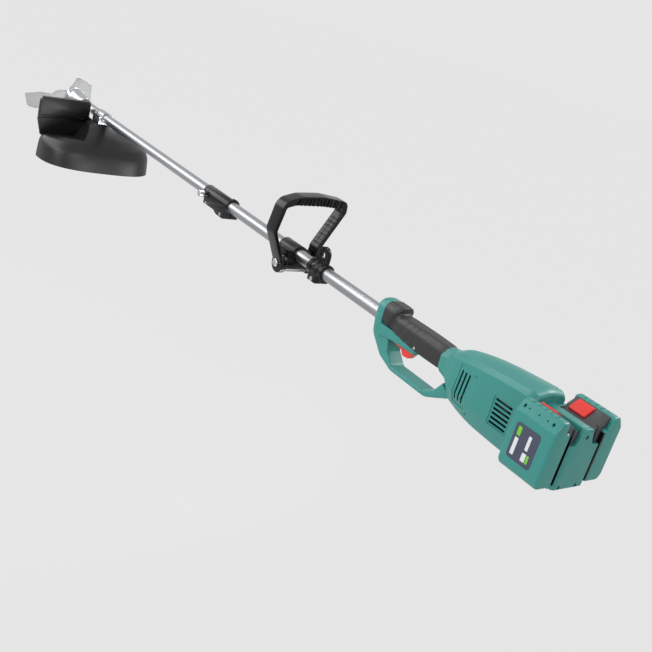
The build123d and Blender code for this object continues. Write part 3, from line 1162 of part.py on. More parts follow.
    rubber -= rod_y(head_r, -grip_y - CUT_MARGIN, sink_y, GRIP_SCREW_X, GRIP_SCREW_Z)
    nodes["rear_grip"] = rubber
    return nodes


def trigger():
    """Trigger lever on its pin, with its leaf spring and the switch that it presses."""
    nodes = {}
    px = TRIGGER_PIVOT_X
    pz = TRIGGER_PIVOT_Z
    outline = [(px + back, pz + up) for back, up in TRIGGER_LINE]
    lever = plate_xz(outline, TRIGGER_ROUND, TRIGGER_W / 2)
    lever = fillet(lever.edges().filter_by(Plane.XZ), TRIGGER_EDGE_ROUND)
    nodes["trigger"] = lever - rod_y(TRIGGER_PIN_D / 2 + RUN_FIT, -TRIGGER_W, TRIGGER_W, px, pz)
    nodes["trigger_pin"] = rod_y(TRIGGER_PIN_D / 2, -TRIGGER_PIN_HALF, TRIGGER_PIN_HALF, px, pz)
    switch_x = px + SWITCH_DX
    floor_z = CORE_BOTTOM_Z + CORE_WALL + SEAT_FIT
    nodes["trigger_switch"] = block(switch_x, switch_x + SWITCH_LENGTH, -SWITCH_W / 2, SWITCH_W / 2,
                                    floor_z, floor_z + SWITCH_H)
    leaf_x0 = px + LEAF_DX
    leaf_x1 = leaf_x0 + LEAF_LENGTH
    leaf_top = SLOT_TOP_Z - SEAT_FIT
    half = LEAF_W / 2
    leaf = block(leaf_x0, leaf_x1, -half, half, leaf_top - LEAF_T, leaf_top)
    leaf += block(leaf_x1 - LEAF_FOOT_T, leaf_x1, -half, half, pz + LEAF_FOOT_RISE, leaf_top)
    nodes["trigger_spring"] = leaf
    return nodes


def motor():
    """Motor, its end brackets and bearings, the fan, shaft coupling and controller board."""
    nodes = {}
    stator = ring_x(STATOR_D / 2, STATOR_BORE_D / 2, STATOR_X, STATOR_END_X)
    nodes["motor_stator"] = stator
    shaft_r = MOTOR_SHAFT_D / 2
    rotor = rod_x(STATOR_BORE_D / 2 - AIR_GAP, STATOR_X + ROTOR_INSET, STATOR_END_X - ROTOR_INSET)
    rotor += rod_x(shaft_r, COUPLING_MID_X, MOTOR_SHAFT_END_X)
    nodes["motor_rotor"] = rotor
    bearing_r = MOTOR_BEARING_OD / 2
    plates = {"motor_front_bracket": STATOR_X - BRACKET_PLATE_T, "motor_rear_bracket": REAR_PLATE_X}
    bearings = []
    for name, x in plates.items():
        x1 = x + BRACKET_PLATE_T
        inner_face = x1 if x < STATOR_X else x
        b0 = inner_face - MOTOR_BEARING_W if x < STATOR_X else inner_face
        plate = ring_x(STATOR_D / 2, shaft_r + BRACKET_HOLE_GAP, x, x1)
        nodes[name] = plate - rod_x(bearing_r + SEAT_FIT, b0, b0 + MOTOR_BEARING_W)
        bearings.append(ring_x(bearing_r, shaft_r + RUN_FIT, b0, b0 + MOTOR_BEARING_W))
    nodes["motor_bearings"] = group(bearings)
    sleeve = ring_x(STATOR_D / 2, STATOR_D / 2 - FAN_SLEEVE_WALL, STATOR_END_X, REAR_PLATE_X)
    window = block(STATOR_END_X + FAN_WINDOW_EDGE, REAR_PLATE_X - FAN_WINDOW_EDGE,
                   -FAN_WINDOW_W / 2, FAN_WINDOW_W / 2, 0, STATOR_D)
    for index in range(FAN_WINDOWS):
        sleeve -= Rot(360.0 * index / FAN_WINDOWS, 0, 0) * window
    nodes["motor_rear_bracket"] += sleeve
    fan = ring_x(FAN_HUB_D / 2, shaft_r + SEAT_FIT, FAN_X, FAN_X + FAN_T)
    root_r = FAN_HUB_D / 2 - FAN_HUB_OVERLAP
    fan += ring_x(FAN_D / 2, root_r, FAN_X, FAN_X + FAN_BLADE_T)
    vane = block(FAN_X, FAN_X + FAN_T, root_r, FAN_D / 2, -FAN_BLADE_T / 2, FAN_BLADE_T / 2)
    for index in range(FAN_BLADES):
        fan += Rot(360.0 * index / FAN_BLADES, 0, 0) * vane
    nodes["motor_fan"] = fan
    coupling = rod_x(COUPLING_D / 2, COUPLING_X, COUPLING_X + COUPLING_LENGTH)
    coupling -= rod_x(SHAFT_R + SEAT_FIT, COUPLING_X, COUPLING_MID_X)
    coupling -= rod_x(shaft_r + SEAT_FIT, COUPLING_MID_X, COUPLING_X + COUPLING_LENGTH)
    nodes["shaft_coupling"] = coupling
    board_x = STATOR_X - BRACKET_PLATE_T + BOARD_INSET
    board_top = BOARD_Z + BOARD_T
    board = block(board_x, board_x + BOARD_LENGTH, -BOARD_W / 2, BOARD_W / 2, BOARD_Z, board_top)
    board += block(board_x + HEATSINK_START, board_x + BOARD_LENGTH - HEATSINK_END,
                   -HEATSINK_W / 2, HEATSINK_W / 2, board_top, board_top + HEATSINK_H)
    nodes["controller_board"] = board
    return nodes


def dock():
    """Battery dock between the packs, with its terminals, rear cover and cover screws."""
    nodes = {}
    x0 = HOUSING_REAR_X
    x1 = REAR_X - COVER_T
    half = DOCK_HALF_W
    wall_top = HOUSING_SHOULDER_Z
    front = block(x0, x0 + DOCK_WALL, -half, half, DOCK_BOTTOM_Z, wall_top)
    floor = block(x0, x1, -half, half, DOCK_BOTTOM_Z, RAIL_BOTTOM_Z)
    spine = block(x0, x1, -DOCK_SPINE_HALF_W, DOCK_SPINE_HALF_W, DOCK_BOTTOM_Z, DOCK_SPINE_TOP_Z)
    body = front + floor + fillet(spine.edges().filter_by(Axis.X).group_by(Axis.Z)[-1], DOCK_ROUND)
    gx0 = x0 + DOCK_WALL
    for side in (-1, 1):
        y0, y1 = sorted((side * (GUIDE_Y - GUIDE_W / 2), side * (GUIDE_Y + GUIDE_W / 2)))
        body += block(gx0 - GUIDE_OVERLAP, gx0 + GUIDE_DEPTH, y0, y1, RAIL_BOTTOM_Z, GUIDE_TOP_Z)
    cover = block(x1, REAR_X, -half, half, DOCK_BOTTOM_Z, DOCK_SHELF_Z)
    cover = fillet(cover.edges().filter_by(Axis.X), COVER_ROUND)
    neck_line = [(-DOCK_NECK_HALF_W, 0), (DOCK_NECK_HALF_W, 0), (DOCK_NECK_HALF_W, DOCK_SHELF_Z),
                 (DOCK_SPINE_HALF_W, DOCK_SPINE_TOP_Z), (-DOCK_SPINE_HALF_W, DOCK_SPINE_TOP_Z),
                 (-DOCK_NECK_HALF_W, DOCK_SHELF_Z)]
    cover += plate_yz(neck_line, COVER_NECK_ROUND, x1, REAR_X)
    for side in (-1, 1):
        y0, y1 = sorted((side * (GUIDE_Y - GUIDE_W / 2), side * (GUIDE_Y + GUIDE_W / 2)))
        cover += block(x1 - GUIDE_DEPTH, x1 + GUIDE_OVERLAP, y0, y1, RAIL_BOTTOM_Z, GUIDE_TOP_Z)
    screws = []
    low_z = RAIL_BOTTOM_Z - COVER_SCREW_RISE
    tip_x = x1 - COVER_SCREW_REACH
    sink_x = REAR_X - COVER_SINK
    for y, z in ((0, COVER_SCREW_Z), (-COVER_SCREW_Y, low_z), (COVER_SCREW_Y, low_z)):
        hole = rod_x(SCREW_PILOT_D / 2, tip_x, REAR_X, y, z)
        sink = rod_x(COVER_HEAD_D / 2, sink_x, REAR_X, y, z)
        body -= hole
        cover -= hole + sink
        shank = rod_x(SCREW_PILOT_D / 2 - SEAT_FIT, tip_x + COVER_SCREW_SHORT, sink_x, y, z)
        head = rod_x(COVER_HEAD_D / 2 - SEAT_FIT, sink_x, REAR_X - COVER_HEAD_RECESS, y, z)
        screws.append(shank + head)
    terminals = []
    z0 = RAIL_BOTTOM_Z + TERMINAL_RISE
    z1 = z0 + TERMINAL_H
    root_x = gx0 - TERMINAL_ROOT
    half = TERMINAL_T / 2
    seat = half + SEAT_FIT
    for side in (-1, 1):
        for offset in (-TERMINAL_W, TERMINAL_W):
            y = side * TERMINAL_Y + offset / 2
            body -= block(root_x - SEAT_FIT, gx0, y - seat, y + seat, z0 - SEAT_FIT, z1 + SEAT_FIT)
            terminals.append(block(root_x, gx0 + TERMINAL_LENGTH, y - half, y + half, z0, z1))
    nodes["battery_dock"] = body
    nodes["rear_cover"] = cover
    nodes["rear_cover_screws"] = group(screws)
    nodes["dock_terminals"] = group(terminals)
    return nodes


def pack_profile(inset):
    """Left pack case in YZ: bevelled towards the outer top edge."""
    outer = -PACK_OUTER_Y + inset
    inner = -PACK_INNER_Y - inset
    low = PACK_BOTTOM_Z + inset
    high = PACK_TOP_Z - inset
    ledge = (-PACK_LEDGE_Y - inset, PACK_LEDGE_Z - inset)
    return [(inner, low), (outer + PACK_FOOT, low), (outer, low + PACK_FOOT),
            (outer, PACK_SIDE_TOP_Z - inset * BEVEL_LOW_SHARE),
            (-PACK_TOP_OUTER_Y + inset * BEVEL_HIGH_SHARE, high), (ledge[0], high), ledge, (inner, ledge[1])]


# Slope of the rail top, which faces the middle of the dock and carries the release button
RAIL_INNER_Y = DOCK_SPINE_HALF_W + SLIDE_GAP
SLOPE_RUN = PACK_LEDGE_Y - RAIL_INNER_Y
SLOPE_RISE = RAIL_HIGH_Z - RAIL_LOW_Z
SLOPE_LENGTH = hypot(SLOPE_RUN, SLOPE_RISE)
SLOPE_NORMAL = (0, SLOPE_RISE / SLOPE_LENGTH, SLOPE_RUN / SLOPE_LENGTH)
BUTTON_Z = RAIL_LOW_Z + (BUTTON_Y - RAIL_INNER_Y) * SLOPE_RISE / SLOPE_RUN


def left_pack():
    """Left battery pack: case, rail, cells and release button."""
    nodes = {}
    x0 = HOUSING_REAR_X + SLIDE_GAP
    x1 = REAR_X
    case = plate_yz(pack_profile(0), PACK_LINE_ROUND, x0, x1)
    case = fillet(case.edges().filter_by(Axis.Z).group_by(Axis.Y)[0], PACK_ROUND)
    case -= plate_yz(pack_profile(PACK_WALL), PACK_INNER_ROUND, x0 + PACK_WALL, x1 - PACK_WALL)
    nodes["left_pack_case"] = case
    rx0 = HOUSING_REAR_X + DOCK_WALL + SLIDE_GAP
    rx1 = REAR_X - COVER_T - SLIDE_GAP
    low = RAIL_BOTTOM_Z + SLIDE_GAP
    rail_line = [(-PACK_INNER_Y, low), (-RAIL_INNER_Y, low), (-RAIL_INNER_Y, RAIL_LOW_Z),
                 (-PACK_LEDGE_Y, RAIL_HIGH_Z), (-PACK_LEDGE_Y, PACK_LEDGE_Z), (-PACK_INNER_Y, PACK_LEDGE_Z)]
    rail = plate_yz(rail_line, RAIL_LINE_ROUND, rx0, rx1)
    gap = SLIDE_GAP
    guide_half = GUIDE_W / 2 + gap
    for gx0, gx1 in ((rx0 - CUT_MARGIN, rx0 + GUIDE_DEPTH), (rx1 - GUIDE_DEPTH, rx1 + CUT_MARGIN)):
        rail -= block(gx0, gx1, -GUIDE_Y - guide_half, -GUIDE_Y + guide_half, low - CUT_MARGIN, RAIL_HIGH_Z)
    half = TERMINAL_T / 2 + gap
    slot_x1 = rx0 + TERMINAL_LENGTH + CUT_MARGIN
    slot_top = RAIL_BOTTOM_Z + TERMINAL_RISE + TERMINAL_H + gap
    for offset in (-TERMINAL_W, TERMINAL_W):
        y = -TERMINAL_Y + offset / 2
        rail -= block(rx0 - CUT_MARGIN, slot_x1, y - half, y + half, low - CUT_MARGIN, slot_top)
    frame = Plane(origin=(BUTTON_X, -BUTTON_Y, BUTTON_Z), x_dir=(1, 0, 0), z_dir=SLOPE_NORMAL).location
    depth = BUTTON_T - BUTTON_PROUD + BUTTON_TRAVEL + gap
    pocket = Box(BUTTON_LENGTH + 2 * gap, BUTTON_W + 2 * gap, depth + 2 * CUT_MARGIN)
    rail -= frame * Pos(0, 0, CUT_MARGIN - depth / 2) * pocket
    button = Pos(0, 0, BUTTON_PROUD - BUTTON_T / 2) * Box(BUTTON_LENGTH, BUTTON_W, BUTTON_T)
    button = fillet(button.edges().filter_by(Axis.Z), BUTTON_ROUND)
    button = fillet(button.edges().group_by(Axis.Z)[-1], BUTTON_EDGE_ROUND)
    nodes["left_pack_rail"] = rail
    nodes["left_release_button"] = frame * button
    cells = []
    cell_y = -(PACK_OUTER_Y - PACK_WALL - CELL_D / 2 - CELL_SIDE_GAP)
    cell_z0 = PACK_BOTTOM_Z + PACK_WALL + CELL_D / 2 + SEAT_FIT
    middle = (x0 + x1) / 2
    for index in range(CELL_COUNT):
        z = cell_z0 + index * (CELL_D + SEAT_FIT)
        cells.append(rod_x(CELL_D / 2, middle - CELL_LENGTH / 2, middle + CELL_LENGTH / 2, cell_y, z))
    nodes["left_cells"] = group(cells)
    return nodes


def right_pack(left):
    """Right battery pack, the mirror image of the left one."""
    return {name.replace("left", "right"): mirrored(solid) for name, solid in left.items()}


def build():
    """All nodes by name."""
    nodes = {}
    for make in (gear_head, cutter, guard_nodes, boom, coupler, loop_handle, hanger, rear_shells, trigger,
                 motor, dock):
        nodes.update(make())
    left = left_pack()
    nodes.update(left)
    nodes.update(right_pack(left))
    return nodes


def main():
    """Write one file for each node."""
    os.makedirs("parts", exist_ok=True)
    for name, solid in build().items():
        export_step(solid, os.path.join("parts", name + ".step"))


if __name__ == "__main__":
    main()
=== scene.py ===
"""Dresses the cordless brush cutter: smooth surfaces and finishes over its solids, in the same frame."""

import json
import logging
from dataclasses import dataclass
from enum import Enum

import bmesh
import bpy
import numpy as np
from mathutils import Matrix, Vector
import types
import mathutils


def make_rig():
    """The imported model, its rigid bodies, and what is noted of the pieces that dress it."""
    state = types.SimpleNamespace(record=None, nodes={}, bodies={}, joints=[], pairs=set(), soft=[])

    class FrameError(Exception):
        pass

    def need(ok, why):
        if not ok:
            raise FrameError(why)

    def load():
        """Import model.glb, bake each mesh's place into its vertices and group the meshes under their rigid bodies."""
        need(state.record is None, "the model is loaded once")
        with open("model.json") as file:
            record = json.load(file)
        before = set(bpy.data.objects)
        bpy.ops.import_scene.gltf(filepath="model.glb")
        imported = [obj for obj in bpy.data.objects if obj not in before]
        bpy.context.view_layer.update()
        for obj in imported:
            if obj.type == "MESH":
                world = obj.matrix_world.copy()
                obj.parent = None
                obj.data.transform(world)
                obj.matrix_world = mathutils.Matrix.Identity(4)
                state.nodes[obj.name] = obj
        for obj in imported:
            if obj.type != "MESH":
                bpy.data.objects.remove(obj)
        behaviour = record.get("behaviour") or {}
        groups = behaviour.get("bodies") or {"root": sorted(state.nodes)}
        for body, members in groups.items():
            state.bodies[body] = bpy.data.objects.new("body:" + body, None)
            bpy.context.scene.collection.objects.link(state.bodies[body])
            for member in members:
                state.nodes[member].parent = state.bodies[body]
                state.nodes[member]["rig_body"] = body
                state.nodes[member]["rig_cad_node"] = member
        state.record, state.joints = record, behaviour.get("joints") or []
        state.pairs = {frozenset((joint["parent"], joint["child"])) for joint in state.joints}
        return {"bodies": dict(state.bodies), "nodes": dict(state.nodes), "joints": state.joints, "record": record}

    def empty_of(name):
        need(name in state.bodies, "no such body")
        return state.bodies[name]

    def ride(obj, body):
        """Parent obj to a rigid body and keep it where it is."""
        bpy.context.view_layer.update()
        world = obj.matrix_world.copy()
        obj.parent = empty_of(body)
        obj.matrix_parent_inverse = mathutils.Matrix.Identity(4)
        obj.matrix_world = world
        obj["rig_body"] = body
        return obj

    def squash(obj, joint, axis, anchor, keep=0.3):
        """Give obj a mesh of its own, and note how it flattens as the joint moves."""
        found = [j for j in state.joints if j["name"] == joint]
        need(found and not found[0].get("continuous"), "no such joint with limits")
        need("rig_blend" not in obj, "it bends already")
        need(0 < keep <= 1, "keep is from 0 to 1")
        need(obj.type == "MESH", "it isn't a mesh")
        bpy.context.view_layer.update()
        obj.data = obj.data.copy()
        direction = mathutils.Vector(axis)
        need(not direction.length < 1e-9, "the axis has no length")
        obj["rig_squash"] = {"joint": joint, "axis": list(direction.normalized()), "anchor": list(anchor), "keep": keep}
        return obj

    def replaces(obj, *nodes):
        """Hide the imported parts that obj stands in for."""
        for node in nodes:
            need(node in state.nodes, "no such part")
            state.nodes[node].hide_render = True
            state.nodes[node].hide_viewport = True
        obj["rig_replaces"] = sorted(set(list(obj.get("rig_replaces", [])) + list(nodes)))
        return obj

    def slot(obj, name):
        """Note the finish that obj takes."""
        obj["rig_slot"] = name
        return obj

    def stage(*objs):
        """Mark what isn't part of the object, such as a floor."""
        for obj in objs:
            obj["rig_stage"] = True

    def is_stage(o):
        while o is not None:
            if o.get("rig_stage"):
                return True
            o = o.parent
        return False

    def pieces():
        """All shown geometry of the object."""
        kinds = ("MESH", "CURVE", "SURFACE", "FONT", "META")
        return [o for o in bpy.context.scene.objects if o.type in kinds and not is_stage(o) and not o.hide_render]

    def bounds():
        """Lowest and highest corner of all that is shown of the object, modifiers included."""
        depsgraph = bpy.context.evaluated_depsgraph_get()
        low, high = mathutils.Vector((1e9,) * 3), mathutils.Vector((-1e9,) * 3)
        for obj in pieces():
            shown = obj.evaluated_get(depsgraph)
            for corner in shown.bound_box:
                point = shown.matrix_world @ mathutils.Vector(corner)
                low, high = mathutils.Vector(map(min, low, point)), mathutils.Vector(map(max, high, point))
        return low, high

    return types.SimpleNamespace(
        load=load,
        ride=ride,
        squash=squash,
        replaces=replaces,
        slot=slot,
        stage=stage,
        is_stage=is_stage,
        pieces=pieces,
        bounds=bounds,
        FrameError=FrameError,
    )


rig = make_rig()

LOG = logging.getLogger("brush_cutter")
# Sizes are written in millimetres, and this makes them metres
MM = 0.001
SIZE_FILE = "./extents.json"
# Side of the square picture in pixels
IMAGE_SIDE = 652
# Edges that turn by more than the first stay creased, and faces that turn by less than the second are flat
SHARP_ANGLE = 0.6
FLAT_ANGLE = 0.02
# Points closer than this, in metres, are one: in new surfaces, and in copies of the solids
WELD_DISTANCE = 1e-6
SOLID_WELD_DISTANCE = 1e-5
# Least length that a direction is worked out from
SHORTEST = 1e-9
# Clouds of roughness are this many grains wide
CLOUD_GRAINS = 18.0
LEAST_ROUGHNESS = 0.02

Array = np.ndarray
Point2 = tuple[float, float]
Point3 = tuple[float, float, float]
Rows = tuple[tuple[float, ...], ...]

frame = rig.load()
CAD_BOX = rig.bounds()
BODY_OF = {node: body for body, nodes in frame["record"]["behaviour"]["bodies"].items() for node in nodes}
SLOT_OF = {row["node"]: row["material_slot"] for row in frame["record"]["subparts"]}


class Along(Enum):
    """Axis that a prism runs along, with the column order of its two outline coordinates."""

    X = (0, 1, 2)
    Y = (1, 0, 2)
    Z = (2, 0, 1)


class Carve(Enum):
    """Ways of joining one closed mesh with another."""

    CUT = "DIFFERENCE"
    KEEP = "INTERSECT"
    JOIN = "UNION"


class Side(Enum):
    """Side of the middle plane, with the sign of its y."""

    LEFT = -1.0
    RIGHT = 1.0

    @property
    def word(self) -> str:
        """Return left or right, as in the names of pieces."""
        return self.name.lower()

    def span(self, near: float, far: float) -> list[float]:
        """Return the rising span between two distances from the middle plane, on this side of it."""
        return sorted((self.value * near, self.value * far))


def linear(hex_code: str) -> tuple[float, float, float, float]:
    """Turn an sRGB hex code into linear colour.

    Args:
        hex_code: six hex digits.

    Returns:
        Linear red, green, blue and an alpha of one.
    """
    levels = np.array([int(hex_code[i:i + 2], 16) for i in (0, 2, 4)]) / 255.0
    low = levels / 12.92
    high = ((levels + 0.055) / 1.055) ** 2.4
    red, green, blue = np.where(levels <= 0.04045, low, high)
    return float(red), float(green), float(blue), 1.0


def add_node(tree: bpy.types.NodeTree, kind: str, settings: dict, links: dict) -> bpy.types.Node:
    """Add one shader node.

    Args:
        tree: node tree that takes the node.
        kind: the node's type.
        settings: values by property name or input name.
        links: output sockets by the name or number of the input that they feed.

    Returns:
        The new node.
    """
    node = tree.nodes.new(kind)
    for name, value in settings.items():
        if name in node.inputs:
            node.inputs[name].default_value = value
        else:
            setattr(node, name, value)
    for name, socket in links.items():
        tree.links.new(socket, node.inputs[name])
    return node


@dataclass(frozen=True)
class Finish:
    """A real material and how its surface was made.

    gloss is how strongly it mirrors, 0.5 being plain. grain_mm is the width of its fine texture, drawn
    coarser than life where it would be too fine to show, and grain_depth_mm is how deep that texture looks.
    stretch pulls the texture along X, as drawing or brushing does. mottle is how far the roughness wanders.
    """

    name: str
    colour: str
    roughness: float
    metallic: float = 0.0
    ior: float = 1.5
    gloss: float = 0.5
    grain_mm: float = 0.8
    grain_depth_mm: float = 0.0
    stretch: float = 1.0
    mottle: float = 0.06

    def material(self) -> bpy.types.Material:
        """Make this finish once.

        Returns:
            The material.
        """
        made = bpy.data.materials.get(self.name)
        if made:
            return made
        made = bpy.data.materials.new(self.name)
        made.use_nodes = True
        tree = made.node_tree
        shader = tree.nodes["Principled BSDF"]
        shader.inputs["Base Color"].default_value = linear(self.colour)
        shader.inputs["Metallic"].default_value = self.metallic
        shader.inputs["Roughness"].default_value = self.roughness
        shader.inputs["Specular IOR Level"].default_value = self.gloss
        if not self.metallic:
            shader.inputs["IOR"].default_value = self.ior
        made.diffuse_color = linear(self.colour)
        self._texture(tree, shader)
        return made

    def _texture(self, tree: bpy.types.NodeTree, shader: bpy.types.Node) -> None:
        """Wire the grain and the wandering roughness, both sized in millimetres on Object coordinates.

        Args:
            tree: the material's node tree.
            shader: the shader that takes them.
        """
        place = add_node(tree, "ShaderNodeTexCoord", {}, {})
        squeeze = {"Scale": (1.0 / self.stretch, 1.0, 1.0)}
        mapped = add_node(tree, "ShaderNodeMapping", squeeze, {"Vector": place.outputs["Object"]})
        where = {"Vector": mapped.outputs["Vector"]}
        broad = {"Scale": 1.0 / (CLOUD_GRAINS * self.grain_mm * MM), "Detail": 3.0}
        cloud = add_node(tree, "ShaderNodeTexNoise", broad, where)
        limits = {"To Min": max(self.roughness - self.mottle, LEAST_ROUGHNESS),
                  "To Max": self.roughness + self.mottle}
        spread = add_node(tree, "ShaderNodeMapRange", limits, {"Value": cloud.outputs["Fac"]})
        tree.links.new(spread.outputs["Result"], shader.inputs["Roughness"])
        if self.grain_depth_mm:
            fine = {"Scale": 1.0 / (self.grain_mm * MM), "Detail": 2.0}
            grain = add_node(tree, "ShaderNodeTexNoise", fine, where)
            depth = {"Distance": self.grain_depth_mm * MM, "Strength": 0.6}
            bump = add_node(tree, "ShaderNodeBump", depth, {"Height": grain.outputs["Fac"]})
            tree.links.new(bump.outputs["Normal"], shader.inputs["Normal"])


# Moulded ABS in teal: an even satin gloss with a faint orange-peel grain
TEAL_ABS = Finish("moulded_teal_abs", "2F857E", 0.42, grain_mm=1.4, grain_depth_mm=0.03)
# Glass-filled nylon, moulded black: dark with soft broad highlights
BLACK_NYLON = Finish("moulded_black_nylon", "0B0B0C", 0.26, gloss=0.26, grain_mm=1.2, grain_depth_mm=0.04)
# Polypropylene, moulded black: smooth, with a wide grey sheen where it curves
GUARD_PP = Finish("moulded_black_polypropylene", "0D0D0E", 0.36, gloss=0.38, grain_mm=1.6,
                  grain_depth_mm=0.03)
# Overmoulded rubber: dark grey, dull, with a fine sandy grain
GRIP_RUBBER = Finish("moulded_grip_rubber", "1A1A1B", 0.46, ior=1.52, grain_mm=0.9, grain_depth_mm=0.10)
# Dark grey ABS trim on the rails: satin
TRIM_ABS = Finish("moulded_grey_abs", "3C3E3F", 0.42, grain_mm=1.0, grain_depth_mm=0.03)
# Red ABS of the trigger and buttons: bright, semi-gloss
RED_ABS = Finish("moulded_red_abs", "E2342D", 0.33, grain_mm=1.2, grain_depth_mm=0.02)
# Drawn aluminium tube, clear anodised: bright, with fine lines along its length
DRAWN_ALUMINIUM = Finish("drawn_aluminium", "9A9C9F", 0.36, 1.0, grain_mm=0.5, grain_depth_mm=0.01,
                         stretch=60.0)
# Die-cast aluminium, tumbled and polished: bright with soft ripples
CAST_ALUMINIUM = Finish("polished_cast_aluminium", "A8AAAC", 0.32, 1.0, grain_mm=2.0, grain_depth_mm=0.06)
# Die-cast end brackets of the motor in a dull dark black: partly a guessed black paint, partly painted shade for the
# dark seen behind the vents
VENT_SHADE_BLACK = Finish("black_painted_casting", "161718", 0.6)
# Hardened spring steel of the blade: even grey, finely ground
BLADE_STEEL = Finish("ground_blade_steel", "8E8F90", 0.62, 1.0, grain_mm=0.7, grain_depth_mm=0.01)
# Zinc-plated steel of screws and springs: pale and bright
ZINC_STEEL = Finish("zinc_plated_steel", "B8BABD", 0.32, 1.0)
# Blackened steel of the cover screws: dark with a soft gleam
DARK_STEEL = Finish("blackened_screw_steel", "3A3C3E", 0.4, 1.0)
# Ground and hardened steel of gears, shafts and bearings: clean grey, rather bright
GEAR_STEEL = Finish("hardened_gear_steel", "8E9194", 0.30, 1.0)
# Turned acetal bushes: off-white and waxy
ACETAL = Finish("turned_acetal", "D8D3C4", 0.45)
# Stacked iron laminations of the motor: dark grey with a fine broken edge
LAMINATION = Finish("stacked_iron_laminations", "55575A", 0.5, 1.0, grain_mm=0.5, grain_depth_mm=0.05)
# Glass-epoxy board: deep green under a satin lacquer
BOARD_EPOXY = Finish("glass_epoxy_board", "1F5A33", 0.4)
# Stamped brass terminals: yellow and bright
BRASS = Finish("stamped_brass", "C8A24A", 0.3, 1.0)
# Shrunk PVC sleeve on the cells: smooth blue
CELL_SLEEVE = Finish("pvc_cell_sleeve", "2F5C9C", 0.4)
# Polyester film of the label panel: smooth, dark grey blue
LABEL_FILM = Finish("polyester_label_film", "3D4256", 0.38, mottle=0.03)
# Plain colour fields on that film: pale grey and light green
PALE_FILM = Finish("pale_label_film", "D5D9DC", 0.4, mottle=0.03)
GREEN_FILM = Finish("green_label_film", "6FC02C", 0.4, mottle=0.03)

FINISH_OF_SLOT = {
    "cast_aluminium": CAST_ALUMINIUM,
    "boom_aluminium": DRAWN_ALUMINIUM,
    "gear_steel": GEAR_STEEL,
    "blade_steel": BLADE_STEEL,
    "screw_steel": ZINC_STEEL,
    "black_plastic": BLACK_NYLON,
    "bush_plastic": ACETAL,
    "grip_rubber": GRIP_RUBBER,
    "teal_plastic": TEAL_ABS,
    "red_plastic": RED_ABS,
    "motor_iron": LAMINATION,
    "board_laminate": BOARD_EPOXY,
    "contact_brass": BRASS,
    "cell_can": CELL_SLEEVE,
}
# The motor's end brackets, darkened as painted shade for the dark seen through the vents
SHADE_DARKENED_BRACKETS = ("motor_front_bracket", "motor_rear_bracket")


def eased(rows: Rows, places: Array) -> Array:
    """Carry sizes smoothly from station to station without overshoot.

    Each span is a cubic whose end slopes are the harmonic mean of the neighbouring spans' slopes, or zero
    where those differ in sign.

    Args:
        rows: for each station its position, rising from row to row, then the sizes there.
        places: positions to work out.

    Returns:
        One row for each size, with its value at every place.
    """
    table = np.array(rows, float)
    stations, values = table[:, 0], table[:, 1:]
    slopes = np.diff(values, axis=0) / np.diff(stations)[:, None]
    before, after = slopes[:-1], slopes[1:]
    same = before * after > 0
    total = np.where(same, before + after, 1.0)
    inner = np.where(same, 2.0 * before * after / total, 0.0)
    ends = np.vstack([slopes[:1], inner, slopes[-1:]])
    span = np.clip(np.searchsorted(stations, places, side="right") - 1, 0, len(stations) - 2)
    width = np.diff(stations)[span]
    t = ((places - stations[span]) / width)[:, None]
    low = values[span] * (1 + 2 * t) * (1 - t) ** 2 + ends[span] * width[:, None] * t * (1 - t) ** 2
    high = values[span + 1] * t * t * (3 - 2 * t) + ends[span + 1] * width[:, None] * t * t * (t - 1)
    return (low + high).T


def round_corners(corners: Array, radii: Array | float | tuple[float, ...], closed: bool = True,
                  steps: int = 8) -> Array:
    """Round the corners of one outline or of many alike.

    Each corner becomes a circular arc that touches both of its sides, written as a rational quadratic with
    the corner as its control point and the sine of half the corner's angle as its weight.

    Args:
        corners: m outlines of k points in the plane, m by k by 2.
        radii: one radius, k radii, or m by k.
        closed: whether the last point joins the first.
        steps: spans in each arc.

    Returns:
        The rounded outlines, m by n by 2.
    """
    corners = np.asarray(corners, float)
    radii = np.broadcast_to(np.asarray(radii, float), corners.shape[:2])
    count = corners.shape[1]
    s = np.linspace(0.0, 1.0, steps + 1)[None, :, None]
    pieces = []
    for index in range(count):
        here = corners[:, index]
        if not closed and index in (0, count - 1):
            pieces.append(here[:, None])
            continue
        back = corners[:, index - 1] - here
        ahead = corners[:, (index + 1) % count] - here
        back_len = np.linalg.norm(back, axis=1, keepdims=True)
        ahead_len = np.linalg.norm(ahead, axis=1, keepdims=True)
        back, ahead = back / back_len, ahead / ahead_len
        half = np.arccos(np.clip((back * ahead).sum(1, keepdims=True), -0.9999, 0.9999)) / 2
        reach = np.minimum(radii[:, index:index + 1] / np.tan(half), 0.49 * np.minimum(back_len, ahead_len))
        start, end = (here + back * reach)[:, None], (here + ahead * reach)[:, None]
        pull = 2 * np.sin(half)[:, :, None] * s * (1 - s)
        below = (1 - s) ** 2 + pull + s ** 2
        pieces.append(((1 - s) ** 2 * start + pull * here[:, None] + s ** 2 * end) / below)
    return np.concatenate(pieces, axis=1)


def outline(points: list[Point2], radii: float | tuple[float, ...]) -> Array:
    """Return one closed outline with rounded corners, n by 2, in millimetres."""
    return round_corners(np.array([points]), radii)[0]


def rectangle(low: Point2, high: Point2, radius: float) -> Array:
    """Return the rectangle between two opposite corners as an outline, its corners rounded."""
    return outline([low, (high[0], low[1]), high, (low[0], high[1])], radius)


def rounded(rows: Rows, closed: bool = True, steps: int = 8) -> Array:
    """Return a line, n by 2, from rows of two coordinates and the radius of the corner there."""
    table = np.array([rows], float)
    return round_corners(table[..., :2], table[..., 2], closed, steps)[0]


def corner_rows(*corners: tuple[Array | float, Array | float]) -> Array:
    """Gather corners, each a pair of coordinates along a path, into one outline per place, m by k by 2."""
    flat = np.broadcast_arrays(*[value for pair in corners for value in pair])
    return np.stack(flat, axis=1).reshape(len(flat[0]), -1, 2)


